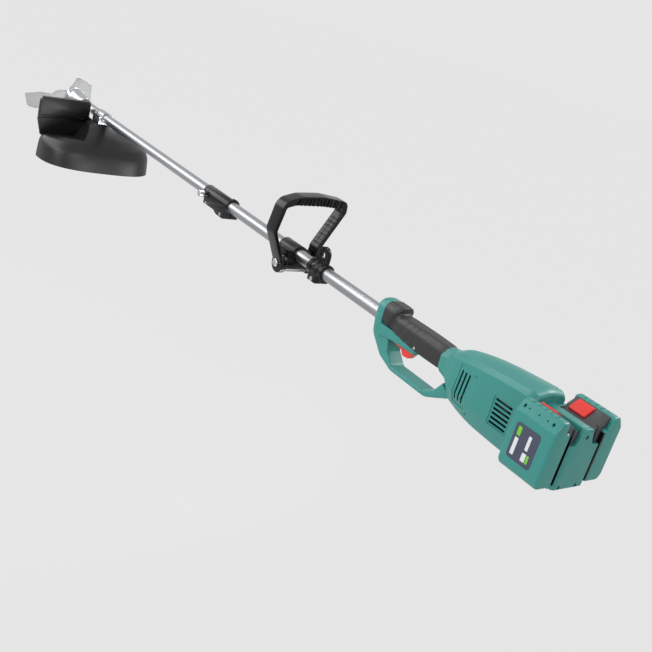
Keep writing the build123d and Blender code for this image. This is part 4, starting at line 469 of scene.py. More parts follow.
def run(line: Array) -> Array:
    """Return the way along a line to each of its points."""
    return np.concatenate([[0.0], np.cumsum(np.linalg.norm(np.diff(line, axis=0), axis=1))])


def follow(way: Array, line: Array, places: Array) -> Array:
    """Return a line's points at places along its way."""
    return np.stack([np.interp(places, way, line[:, k]) for k in (0, 1)], axis=1)


def spaced(ring: Array, step: float) -> Array:
    """Add points along a closed outline, a step apart.

    Args:
        ring: the outline, n by 2.
        step: the way from one added point to the next.

    Returns:
        The outline with its own points and the added ones.
    """
    loop = np.vstack([ring, ring[:1]])
    way = run(loop)
    places = np.concatenate([way[:-1], np.arange(0.0, way[-1] - step / 2, step)])
    return follow(way, loop, np.unique(np.round(places, 2)))


def unit(vectors: Array) -> Array:
    """Return vectors along the last axis at a length of one."""
    return vectors / np.maximum(np.linalg.norm(vectors, axis=-1, keepdims=True), SHORTEST)


def inset_rings(rings: Array, depth: Array) -> Array:
    """Move closed outlines inwards along their own normals, which stand square to the mean of two sides.

    Args:
        rings: m outlines of n points, m by n by 2.
        depth: how far each outline moves, m long.

    Returns:
        The moved outlines.
    """
    back = unit(rings - np.roll(rings, 1, axis=1))
    ahead = unit(np.roll(rings, -1, axis=1) - rings)
    along = unit(back + ahead)
    inward = np.stack([-along[..., 1], along[..., 0]], axis=2)
    x, y = rings[..., 0], rings[..., 1]
    area = (x * np.roll(y, -1, 1) - y * np.roll(x, -1, 1)).sum(1)
    return rings + inward * (np.sign(area) * depth)[:, None, None]


def quads(rows: int, columns: int) -> Array:
    """Number the four-sided faces of a grid whose columns join round.

    Args:
        rows: rows of points.
        columns: points in each row.

    Returns:
        The faces' point numbers, n by 4.
    """
    row, column = np.meshgrid(np.arange(rows - 1), np.arange(columns), indexing="ij")
    right = (column + 1) % columns
    here, below = row * columns, (row + 1) * columns
    return np.stack([here + column, here + right, below + right, below + column], axis=-1).reshape(-1, 4)


def placed(flat: Array, along: Along, places: Array) -> Array:
    """Stand flat outlines up along an axis.

    Args:
        flat: m outlines of n points, m by n by 2.
        along: the axis.
        places: a position on that axis for each outline, m long, or for each point, m by n.

    Returns:
        Rings in space, m by n by 3.
    """
    rings = np.empty(flat.shape[:2] + (3,))
    rings[..., along.value[0]] = places.reshape(len(flat), -1)
    rings[..., along.value[1]] = flat[..., 0]
    rings[..., along.value[2]] = flat[..., 1]
    return rings


def shade(obj: bpy.types.Object) -> None:
    """Shade a mesh smoothly, with creases where its faces turn sharply."""
    obj.data.shade_smooth()
    obj.data.set_sharp_from_angle(angle=SHARP_ANGLE)


def link(name: str, mesh: bpy.types.Mesh) -> bpy.types.Object:
    """Put a mesh into the scene.

    Args:
        name: the piece's name.
        mesh: its mesh.

    Returns:
        The object, smoothly shaded.
    """
    obj = bpy.data.objects.new(name, mesh)
    bpy.context.scene.collection.objects.link(obj)
    shade(obj)
    return obj


def finished(work: bmesh.types.BMesh, name: str) -> bpy.types.Object:
    """Turn a mesh in the making into an object.

    Args:
        work: the mesh in the making, which is freed.
        name: the piece's name.

    Returns:
        The object.
    """
    mesh = bpy.data.meshes.new(name)
    work.to_mesh(mesh)
    work.free()
    return link(name, mesh)


def new_piece(name: str, points: Array, faces: list) -> bpy.types.Object:
    """Make a mesh object from points in millimetres, with its faces turned outwards.

    Args:
        name: the piece's name.
        points: n by 3.
        faces: lists of point numbers.

    Returns:
        The object.
    """
    draft = bpy.data.meshes.new(name)
    draft.from_pydata((points.reshape(-1, 3) * MM).tolist(), [], faces)
    work = bmesh.new()
    work.from_mesh(draft)
    bpy.data.meshes.remove(draft)
    bmesh.ops.remove_doubles(work, verts=work.verts, dist=WELD_DISTANCE)
    bmesh.ops.recalc_face_normals(work, faces=work.faces)
    return finished(work, name)


def tube_of_rings(name: str, rings: Array) -> bpy.types.Object:
    """Skin closed rings and close both ends with a flat face.

    Args:
        name: the piece's name.
        rings: m rings of n points, m by n by 3.

    Returns:
        The closed piece.
    """
    rows, columns = rings.shape[:2]
    faces = quads(rows, columns).tolist()
    faces.append(list(range(columns)))
    faces.append(list(range((rows - 1) * columns, rows * columns)))
    return new_piece(name, rings, faces)


def swept(name: str, inner: Array, across: Array, section: Array, along: Along,
          middle: float) -> bpy.types.Object:
    """Carry a section along a band that lies between an inner and an outer line.

    A section's point (u, v) lies u away from the inner line, towards the outer one, and v beside the middle.

    Args:
        name: the piece's name.
        inner: the inner line, m by 2.
        across: steps of length one from it towards the outer line, m by 2.
        section: outlines of (u, v), m by n by 2.
        along: the axis that v is measured on.
        middle: the band's middle on that axis.

    Returns:
        The closed piece.
    """
    flat = inner[:, None] + across[:, None] * section[..., :1]
    return tube_of_rings(name, placed(flat, along, middle + section[..., 1]))


def prism(name: str, ring: Array, along: Along, low: float, high: float, ease_low: float = 0.0,
          ease_high: float = 0.0, steps: int = 5) -> bpy.types.Object:
    """Carry an outline along an axis and round both of its end edges.

    Near an end the outline is drawn in by r - r sin(a) at the distance r - r cos(a), a quarter circle.

    Args:
        name: the piece's name.
        ring: the closed outline, n by 2.
        along: the axis.
        low: start on that axis.
        high: end on that axis.
        ease_low: radius of the rounding at the start.
        ease_high: radius of the rounding at the end.
        steps: spans in each rounding.

    Returns:
        The closed piece.
    """
    angle = np.linspace(0.0, np.pi / 2, steps + 1)
    near, far = (angle if ease_low else angle[-1:]), (angle[::-1] if ease_high else angle[-1:])
    start = low + ease_low * (1 - np.cos(near))
    end = high - ease_high * (1 - np.cos(far))
    depth = np.concatenate([ease_low * (1 - np.sin(near)), ease_high * (1 - np.sin(far))])
    flat = inset_rings(np.repeat(ring[None], len(depth), axis=0), depth)
    return tube_of_rings(name, placed(flat, along, np.concatenate([start, end])))


def disc(radius: float, centre: Point2 = (0.0, 0.0), count: int = 48) -> Array:
    """Return a circle as an outline."""
    turn = np.linspace(0.0, 2 * np.pi, count, endpoint=False)
    return np.stack([centre[0] + radius * np.cos(turn), centre[1] + radius * np.sin(turn)], axis=1)


def settle(obj: bpy.types.Object) -> None:
    """Turn an object's modifiers into its mesh.

    Args:
        obj: the object.
    """
    graph = bpy.context.evaluated_depsgraph_get()
    mesh = bpy.data.meshes.new_from_object(obj.evaluated_get(graph))
    obj.modifiers.clear()
    old = obj.data
    obj.data = mesh
    bpy.data.meshes.remove(old)


def carve(obj: bpy.types.Object, tools: list[bpy.types.Object], way: Carve = Carve.CUT) -> bpy.types.Object:
    """Cut closed pieces out of a closed piece, or keep or add them, and delete the tools.

    Args:
        obj: the piece that changes.
        tools: the pieces that it is joined with, in turn.
        way: how they are joined.

    Returns:
        The changed piece.
    """
    for tool in tools:
        change = obj.modifiers.new("carve", "BOOLEAN")
        change.operation = way.value
        change.solver = "MANIFOLD"
        change.object = tool
        settle(obj)
        bpy.data.objects.remove(tool)
    shade(obj)
    return obj


def move(obj: bpy.types.Object, matrix: Matrix) -> bpy.types.Object:
    """Carry a piece to its place inside its mesh, so that its object stays at the origin."""
    obj.data.transform(matrix)
    return obj


def merge(name: str, pieces: list[bpy.types.Object]) -> bpy.types.Object:
    """Put several meshes into one object.

    Args:
        name: the new object's name.
        pieces: the objects, which are deleted.

    Returns:
        The new object.
    """
    work = bmesh.new()
    for piece in pieces:
        work.from_mesh(piece.data)
        bpy.data.objects.remove(piece)
    return finished(work, name)


def dress(obj: bpy.types.Object, finish: Finish, body: str, slot: str, *nodes: str) -> bpy.types.Object:
    """Give a new piece its finish, its body and its slot, and name the solids that it stands for.

    Args:
        obj: the piece.
        finish: its finish.
        body: the body that it rides on.
        slot: its material slot.
        *nodes: the solids that it stands for.

    Returns:
        The piece.
    """
    obj.data.materials.clear()
    obj.data.materials.append(finish.material())
    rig.ride(obj, body)
    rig.slot(obj, slot)
    if nodes:
        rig.replaces(obj, *nodes)
    LOG.info("%s rides on %s, %d faces", obj.name, body, len(obj.data.polygons))
    return obj


def welded_copy(node: str) -> bmesh.types.BMesh:
    """Copy a solid's loose triangles and join them at their corners.

    Args:
        node: the solid's name.

    Returns:
        The copy, a mesh in the making.
    """
    work = bmesh.new()
    work.from_mesh(frame["nodes"][node].data)
    bmesh.ops.remove_doubles(work, verts=work.verts, dist=SOLID_WELD_DISTANCE)
    return work


def eased_copy(node: str, ease_mm: float, finish: Finish | None = None) -> bpy.types.Object:
    """Copy a solid with its edges broken by a small rounding.

    Args:
        node: the solid's name.
        ease_mm: width of the rounding.
        finish: the finish, or the one of its slot.

    Returns:
        The copy, which stands for the solid.
    """
    work = welded_copy(node)
    bmesh.ops.dissolve_limit(work, angle_limit=FLAT_ANGLE, verts=work.verts, edges=work.edges)
    edges = [edge for edge in work.edges if edge.is_manifold and edge.calc_face_angle(0.0) > SHARP_ANGLE]
    bmesh.ops.bevel(work, geom=edges, offset=ease_mm * MM, segments=2, profile=0.5, affect="EDGES",
                    clamp_overlap=True)
    bmesh.ops.recalc_face_normals(work, faces=work.faces)
    slot = SLOT_OF[node]
    copy = finished(work, node + "_eased")
    return dress(copy, finish or FINISH_OF_SLOT[slot], BODY_OF[node], slot, node)


def paint_nodes() -> None:
    """Give every solid the finish of its slot; the motor's end brackets take a dull black, a guessed paint that also
    serves as painted shade behind the vents.
    """
    for name, obj in frame["nodes"].items():
        finish = VENT_SHADE_BLACK if name in SHADE_DARKENED_BRACKETS else FINISH_OF_SLOT[SLOT_OF[name]]
        obj.data.materials.clear()
        obj.data.materials.append(finish.material())
        LOG.info("%s painted", name)


@dataclass
class CuttingHead:
    """Gear case, blade and what clamps it."""

    blend_mm: float = 1.3
    blend_factor: float = 0.5
    blend_rounds: int = 8
    ease_mm: float = 0.5
    blade_ease_mm: float = 0.25
    below: tuple[str, ...] = ("gearcase_cap", "blade_flange", "blade_clamp_plate", "blade_nut",
                              "gearcase_bolts")

    def build(self) -> None:
        """Blend the casting and ease the edges of what shows below it."""
        self._casting()
        for node in self.below:
            eased_copy(node, self.ease_mm)
        eased_copy("blade", self.blade_ease_mm)

    def _casting(self) -> None:
        """Melt the case, its neck and its socket into one casting: remesh evenly, then relax."""
        casting = finished(welded_copy("gearcase"), "gearcase_casting")
        even = casting.modifiers.new("even", "REMESH")
        even.mode = "VOXEL"
        even.voxel_size = self.blend_mm * MM
        relax = casting.modifiers.new("relax", "SMOOTH")
        relax.factor = self.blend_factor
        relax.iterations = self.blend_rounds
        settle(casting)
        casting.data.shade_smooth()
        dress(casting, CAST_ALUMINIUM, "frame", "cast_aluminium", "gearcase")


@dataclass
class Guard:
    """Black guard behind the blade: a skirt, a fan up to its neck, a stepped notch and a flap on the left.

    Each row of sections is a height, then the half width, the rear end, the front end and the arch's power.
    """

    wall: float = 3.0
    front: float = -1192.0
    sections: Rows = (
        (-134.0, 150.0, -1077.0, front, 2.9),
        (-96.0, 148.0, -1082.5, front, 2.8),
        (-76.0, 142.0, -1090.0, front, 2.6),
        (-60.0, 115.0, -1099.0, -1190.0, 2.6),
        (-44.0, 82.0, -1109.0, -1187.0, 2.6),
        (-16.0, 19.0, -1133.0, -1180.0, 4.0),
    )
    room_past: float = 2.0
    notch_floor: Point2 = (-74.5, -53.5)
    notch_reach: Point2 = (-1197.0, -1072.0)
    notch_ends: Point2 = (-1300.0, -1000.0)
    notch_side: float = -400.0
    notch_corner: float = -60.0
    notch_top: Point2 = (-15.0, -7.0)
    step_skew: float = 3.6
    flap_length: float = 146.0
    flap_turn_deg: float = 11.0
    flap_foot: Point2 = (-1222.86, -17.0)
    flap_heights: Point2 = (-27.0, 23.0)
    flap_rounds: tuple[float, ...] = (5.0, 5.0, 9.0, 12.0)
    flap_eases: Point2 = (1.5, 2.5)
    flap_thick: float = 11.0
    flap_arch: float = 3.5
    groove: float = 8.0
    panel_low: float = -78.0
    panel_taper: float = 14.0
    panel_thick: float = 4.0
    panel_round: float = 2.0
    panel_eases: Point2 = (0.4, 0.4)
    web_overlaps: Point2 = (2.0, 6.0)
    web_span: Point2 = (0.3, 1.0)
    rib_corners: tuple[Point2, Point2] = ((-1221.0, -40.0), (-1174.0, -16.5))
    rib_span: Point2 = (-20.0, -17.0)

    def build(self) -> None:
        """Cut the notch, hollow the guard a wall away from it, and add the flap, the ledge and the rib."""
        guard = carve(self._solid("guard_moulding", 0.0, 0.0), [self._notch("notch", 0.0)])
        room = carve(self._solid("room", self.wall, self.room_past), [self._notch("notch_wall", self.wall)])
        carve(guard, [room])
        carve(guard, [self._ledge(), self._rib()] + self._flap(), Carve.JOIN)
        dress(guard, GUARD_PP, "frame", "black_plastic", "guard")

    def _solid(self, name: str, inset: float, past: float) -> bpy.types.Object:
        """Skin plan outlines from the rim up to the neck.

        Each is an arch, half of |y / w|^n + |x / d|^n = 1, whose half width w, depth d and power n ease from
        one height to the next: a low power is round, a high one boxy.

        Args:
            name: the piece's name.
            inset: how far the surface lies inside the outer one.
            past: how far the piece runs on below the rim and in front.

        Returns:
            The closed piece.
        """
        z = np.linspace(self.sections[0][0], self.sections[-1][0] - inset, 56)
        half, back, front, power = eased(self.sections, z)
        half, back, front = half - inset, back - inset, front - past
        turn = np.linspace(0.0, np.pi, 97)
        across, along = -np.cos(turn), np.sin(turn)
        root = 2.0 / power[:, None]
        x = front[:, None] + (back - front)[:, None] * np.abs(along) ** root
        y = half[:, None] * np.sign(across) * np.abs(across) ** root
        z[0] -= past
        return tube_of_rings(name, placed(np.stack([x, y], axis=2), Along.Z, z))

    def _notch(self, name: str, grow: float) -> bpy.types.Object:
        """Prism of the notch along X, whose floor climbs evenly towards the rear.

        Args:
            name: the piece's name.
            grow: how far its inner sides lie outside the notch.

        Returns:
            The closed piece.
        """
        (top_y, top_z), low, side = self.notch_top, self.notch_floor[0] - grow, self.notch_side
        skew = grow * self.step_skew / self.wall
        line = [(top_y + skew, top_z), (self.notch_corner + skew, low), (side, low), (side, top_z)]
        x = np.array(self.notch_ends)
        first, last = self.notch_reach
        climb = (self.notch_floor[1] - self.notch_floor[0]) * (x - first) / (last - first)
        flat = np.repeat(np.array([line]), len(x), axis=0)
        flat[:, 1:3, 1] += climb[:, None]
        return tube_of_rings(name, placed(flat, Along.X, x))

    def _arched(self, corners: list[Point2], radii: float | tuple[float, ...], still: float,
                moved: float) -> Array:
        """Outline whose edge at one height bows up while the edge at another stays.

        A point rises by h (1 - u^2) s, where u runs from -1 to 1 along the flap and s from nought to one
        between the two heights.

        Args:
            corners: the outline's corners.
            radii: their radii.
            still: height of the edge that stays.
            moved: height of the edge that bows.

        Returns:
            The outline.
        """
        ring = spaced(outline(corners, radii), 6.0)
        u = 2.0 * ring[:, 0] / self.flap_length + 1.0
        ring[:, 1] += self.flap_arch * np.clip(1 - u * u, 0.0, 1.0) * (ring[:, 1] - still) / (moved - still)
        return ring

    def _flap(self) -> list[bpy.types.Object]:
        """Make the flap, the thin web in the groove under it and the tapered panel below.

        Returns:
            The three closed pieces, turned about the upright.
        """
        low, top = self.flap_heights
        far, foot = -self.flap_length, self.panel_low
        edge = low - self.groove
        sheet = self._arched([(far, low), (0, low), (0, top), (far, top)], self.flap_rounds, top, low)
        apron = self._arched([(far + self.panel_taper, foot), (0, foot), (0, edge), (far, edge)],
                             self.panel_round, foot, edge)
        flap = prism("flap", sheet, Along.X, 0.0, self.flap_thick, *self.flap_eases)
        panel = prism("panel", apron, Along.X, 0.0, self.panel_thick, *self.panel_eases)
        below, above = self.web_overlaps
        sheer = rectangle((far + 1, edge - below), (-1, low + above), 0.5)
        web = prism("web", sheer, Along.X, *self.web_span)
        x, y = self.flap_foot
        turn = Matrix.Rotation(np.radians(self.flap_turn_deg), 4, "Z")
        place = Matrix.Translation((x * MM, y * MM, 0.0)) @ turn
        return [move(piece, place) for piece in (web, flap, panel)]

    def _ledge(self) -> bpy.types.Object:
        """Make the flat ledge between the panel's foot and the skirt.

        Returns:
            The closed piece.
        """
        turn = np.radians(self.flap_turn_deg)
        reach = self.flap_length - self.panel_taper
        x, y = self.flap_foot
        far_x, far_y = x + reach * np.sin(turn), y - reach * np.cos(turn)
        skirt, floor = self.front + self.wall, self.notch_floor[0]
        line = [(x + 1, y), (far_x + 1, far_y), (skirt, far_y), (skirt, y)]
        return prism("ledge", outline(line, 0.5), Along.Z, floor - self.wall, floor)

    def _rib(self) -> bpy.types.Object:
        """Return the rib that ties the flap to the neck."""
        return prism("rib", rectangle(*self.rib_corners, 2.0), Along.Y, *self.rib_span, 0.6, 0.6)


@dataclass
class LoopHandle:
    """Loop handle: a strap on two eyes, with a ribbed bar across its top and a tread in its right leg.

    Each row of a line is y, z and the radius of the corner there, from the left eye to the right eye.
    """

    station: float = -187.0
    depth: float = 28.0
    pivot_z: float = -20.0
    eye_radius: float = 18.5
    eye_hole: float = 4.1
    eye_span: Point2 = (28.0, 40.0)
    eye_ease: float = 1.5
    outer_line: Rows = ((-40, -20, 0), (-74, 42, 20), (-66, 100, 24), (-30, 113, 40), (20, 117, 60),
                        (75, 112, 12), (77, 91, 12), (41, 18, 20), (40, -20, 0))
    inner_line: Rows = ((-31, -20, 0), (-65, 42, 14), (-57, 89, 8), (-40, 95, 30), (20, 98, 50),
                        (62, 97, 4), (68, 90, 4), (32, 18, 14), (31, -20, 0))
    section_rounds: tuple[float, ...] = (3.2, 0.3, 0.3, 4.5, 4.5, 0.3, 0.3, 3.2, 0.1, 0.1, 0.1)
    spacing: float = 0.7
    bar_low: float = 80.0
    ribs: int = 13
    rib_pitch: float = 8.0
    rib_middle: float = 12.0
    rib_reach: float = 15.0
    rib_share: float = 0.78
    rib_step: float = 1.5
    groove_width: float = 3.6
    groove_depth: float = 2.5
    groove_slope: float = 0.8
    pad_side: float = 30.0
    pad_heights: Point2 = (22.0, 80.0)
    pad_pitch: float = 8.5
    pad_depth: float = 0.8
    pad_groove_half: float = 1.1
    pad_slope: float = 0.7
    seam_half: float = 0.8

    def build(self) -> None:
        """Carry a rounded section from the inner line to the outer line along the loop, then add the eyes."""
        outer, inner = self._lines()
        width = np.linalg.norm(outer - inner, axis=1)
        across = (outer - inner) / width[:, None]
        seam = self.pad_depth * self._on_pad(inner)
        tread = self._tread(inner)
        inner = inner + across * tread[:, None]
        width = width - tread
        dent = self._ribbing((outer[:, 0] + inner[:, 0]) / 2, inner[:, 1])
        half = self.depth / 2
        reach = np.minimum(self.rib_reach, self.rib_share * width)
        step = reach + self.rib_step
        corners = corner_rows(
            (0, dent - half), (reach, dent - half), (step, -half), (width, -half), (width, half),
            (step, half), (reach, half - dent), (0, half - dent), (0, self.seam_half), (seam, 0),
            (0, -self.seam_half))
        section = round_corners(corners, self.section_rounds, True, 5)
        loop = swept("loop_handle_moulding", inner, across, section, Along.X, self.station)
        self._eyes(loop)
        dress(loop, BLACK_NYLON, "loop_handle", "black_plastic", "loop_handle")

    def _lines(self) -> tuple[Array, Array]:
        """Space both lines evenly along their middle, point for point.

        Returns:
            The outer and the inner line.
        """
        outer, inner = rounded(self.outer_line, False, 12), rounded(self.inner_line, False, 12)
        way = run((outer + inner) / 2)
        places = np.linspace(0.0, way[-1], int(way[-1] / self.spacing))
        return follow(way, outer, places), follow(way, inner, places)

    def _ribbing(self, y: Array, z: Array) -> Array:
        """Work out the grooves between the ribs: flat-bottomed, with short slopes.

        Args:
            y: places across the bar.
            z: heights.

        Returns:
            The grooves' depth at each place.
        """
        count = np.round((y - self.rib_middle) / self.rib_pitch)
        off = np.abs(y - self.rib_middle - count * self.rib_pitch)
        inside = (np.abs(count) <= (self.ribs - 1) / 2) & (z > self.bar_low)
        fall = (self.groove_width / 2 + self.groove_slope / 2 - off) / self.groove_slope
        return self.groove_depth * inside * np.clip(fall, 0.0, 1.0)

    def _on_pad(self, line: Array) -> Array:
        """Return which points of a line lie on the right leg's tread."""
        low, high = self.pad_heights
        return (line[:, 0] > self.pad_side) & (line[:, 1] > low) & (line[:, 1] < high)

    def _tread(self, line: Array) -> Array:
        """Work out the fine cross grooves on the right leg's inner face: flat-bottomed, with short slopes.

        Args:
            line: the inner line, n by 2.

        Returns:
            The grooves' depth at each point.
        """
        off = np.abs(line[:, 1] - np.round(line[:, 1] / self.pad_pitch) * self.pad_pitch)
        fall = (self.pad_groove_half - off) / self.pad_slope
        return self.pad_depth * self._on_pad(line) * np.clip(fall, 0.0, 1.0)

    def _eyes(self, loop: bpy.types.Object) -> None:
        """Add the two eyes at the loop's ends and bore them.

        Args:
            loop: the loop, which takes them.
        """
        centre = (self.station, self.pivot_z)
        near, far = self.eye_span
        eye = disc(self.eye_radius, centre, 64)
        eyes = [prism("eye", eye, Along.Y, *side.span(near, far), self.eye_ease, self.eye_ease)
                for side in Side]
        carve(loop, eyes, Carve.JOIN)
        carve(loop, [prism("eye_hole", disc(self.eye_hole, centre, 32), Along.Y, -far - 1, far + 1)])


@dataclass
class RearHandle:
    """Nose ring, finger strap and trigger shroud in teal, rubber grip and trigger.

    Rows of the nose and the strap are two coordinates and the radius of the corner there. Rows of the shroud
    are x, half width, top and bottom, and those of the grip also the corners' radius.
    """

    nose_span: Point2 = (80.0, 103.0)
    nose_eases: Point2 = (12.0, 2.0)
    nose_section: Rows = ((-16, -31, 6), (16, -31, 6), (21.5, -4, 24), (21.5, 34, 18), (-21.5, 34, 18),
                          (-21.5, -4, 24))
    tube_room: float = 12.05
    tube_room_span: Point2 = (60.0, 102.0)
    strap_outer: Rows = ((97, 14, 0), (80.5, -8, 16), (86, -30, 16), (116, -57, 20), (150, -69, 24),
                         (236, -69, 22), (256, -60, 12), (288, -44, 0))
    strap_inner: Rows = ((118, 14, 0), (122, -8, 8), (125, -27, 6), (131, -43, 8), (149, -61, 12),
                         (228, -61, 12), (250, -50, 8), (264, -30, 0))
    strap_half: float = 16.0
    strap_rounds: tuple[float, ...] = (3.0, 3.8, 0.2, 0.2, 0.2, 3.8, 3.0)
    parting: float = 0.7
    shroud: Rows = (
        (98.0, 20.5, -6.0, -28.0),
        (110.0, 20.0, -6.0, -26.0),
        (135.0, 18.0, -7.0, -23.0),
        (165.0, 16.0, -8.0, -22.5),
        (184.0, 14.5, -8.5, -22.5),
        (192.0, 9.0, -11.0, -19.0),
    )
    shroud_rounds: tuple[float, ...] = (4.0, 4.0, 1.0, 1.0)
    shroud_end: float = 12.0
    trigger_slot: tuple[Point2, Point2] = ((121.0, -40.0), (189.0, -7.0))
    trigger_half: float = 6.3
    trigger_ease: float = 0.8
    grip: Rows = (
        (103.0, 21.0, 33.0, -8.0, 15.0),
        (107.0, 21.9, 34.3, -8.5, 16.0),
        (124.0, 21.9, 34.3, -9.5, 16.0),
        (131.0, 21.4, 33.6, -10.5, 15.5),
        (134.5, 20.0, 30.6, -11.5, 14.5),
        (138.0, 17.9, 25.0, -12.5, 13.0),
        (142.0, 17.5, 22.8, -13.5, 12.6),
        (152.0, 19.0, 22.9, -15.4, 13.0),
        (200.0, 19.9, 23.2, -17.3, 13.4),
        (238.0, 19.3, 22.8, -17.1, 13.4),
        (249.0, 18.2, 21.6, -16.2, 13.0),
    )
    hood_top: float = 34.0
    hood_lean: Rows = ((103.0, 0.0), (124.0, 0.34), (138.0, 0.44), (156.0, 0.30), (176.0, 0.0))
    grooves: tuple[float, ...] = (128.0, 139.0, 150.0, 161.0)
    groove_depth: float = 0.55
    groove_width: float = 1.1
    groove_flow: Point2 = (18.0, 14.0)
    groove_axis_z: float = 3.0
    groove_start: float = 152.0
    groove_fade: float = 6.0

    def build(self) -> None:
        """Build the mouldings in turn."""
        teal = self._strap()
        carve(teal, [self._nose(), self._shroud()], Carve.JOIN)
        dress(teal, TEAL_ABS, "frame", "teal_plastic")
        self._grip()
        eased_copy("trigger", self.trigger_ease)

    def _nose(self) -> bpy.types.Object:
        """Return the ring round the tube in front of the hood, with a well rounded front."""
        nose = prism("nose", rounded(self.nose_section), Along.X, *self.nose_span, *self.nose_eases, 8)
        return carve(nose, [prism("tube_room", disc(self.tube_room), Along.X, *self.tube_room_span)])

    def _strap(self) -> bpy.types.Object:
        """Carry a rounded section with a parting groove from the inner line to the outer line.

        Returns:
            The finger strap.
        """
        outer, inner = rounded(self.strap_outer, False, 10), rounded(self.strap_inner, False, 10)
        width = np.linalg.norm(outer - inner, axis=1)
        across = (outer - inner) / width[:, None]
        half, parting = self.strap_half, self.parting
        corners = corner_rows((0, -half), (width, -half), (width, -parting), (width - parting, 0),
                              (width, parting), (width, half), (0, half))
        section = round_corners(corners, self.strap_rounds, True, 6)
        return swept("handle_frame", inner, across, section, Along.Y, 0.0)

    def _shroud(self) -> bpy.types.Object:
        """Draw a rounded box in from the nose's width to its round rear end and open it below.

        Returns:
            The shroud over the trigger.
        """
        bend = self.shroud[-1][0] - self.shroud_end
        end = bend + self.shroud_end * np.sin(np.linspace(0.1, np.pi / 2, 12))
        x = np.concatenate([np.linspace(self.shroud[0][0], bend, 40), end])
        half, top, low = eased(self.shroud, x)
        corners = corner_rows((-half, low), (half, low), (half, top), (-half, top))
        ring = round_corners(corners, self.shroud_rounds, True, 6)
        body = tube_of_rings("shroud", placed(ring, Along.X, x))
        slot = rectangle(*self.trigger_slot, 1.0)
        return carve(body, [prism("slot", slot, Along.Y, -self.trigger_half, self.trigger_half)])

    def _grip(self) -> None:
        """Rubber grip: a rounded section whose width, top and bottom ease from the hood to the sleeve.

        The hood's rear edge leans forward below, because each section there is sheared along X with its
        height. Flowing grooves run round the sleeve: each is a bell-shaped dent along a curved line.
        """
        x = np.linspace(self.grip[0][0], self.grip[-1][0], 240)
        half, top, low, radius = eased(self.grip, x)
        corners = corner_rows((-half, low), (half, low), (half, top), (-half, top))
        ring = round_corners(corners, radius[:, None], True, 16)
        turn = np.arctan2(ring[..., 0], ring[..., 1] - self.groove_axis_z)
        wave, slide = self.groove_flow
        flow = x[:, None] - wave * np.cos(turn) - slide * np.abs(turn)
        dent = sum(np.exp(-((flow - centre) / self.groove_width) ** 2) for centre in self.grooves)
        dent = self.groove_depth * dent * np.clip((x - self.groove_start) / self.groove_fade, 0, 1)[:, None]
        outward = unit(ring - corner_rows((0 * x, (top + low) / 2)))
        ring = ring - outward * dent[..., None]
        shear = np.interp(x, *np.array(self.hood_lean).T)[:, None]
        place = x[:, None] + shear * np.minimum(ring[..., 1] - self.hood_top, 0.0)
        points = placed(ring, Along.X, np.maximum(place, x[0]))
        dress(tube_of_rings("rear_grip_sleeve", points), GRIP_RUBBER, "frame", "grip_rubber", "rear_grip")


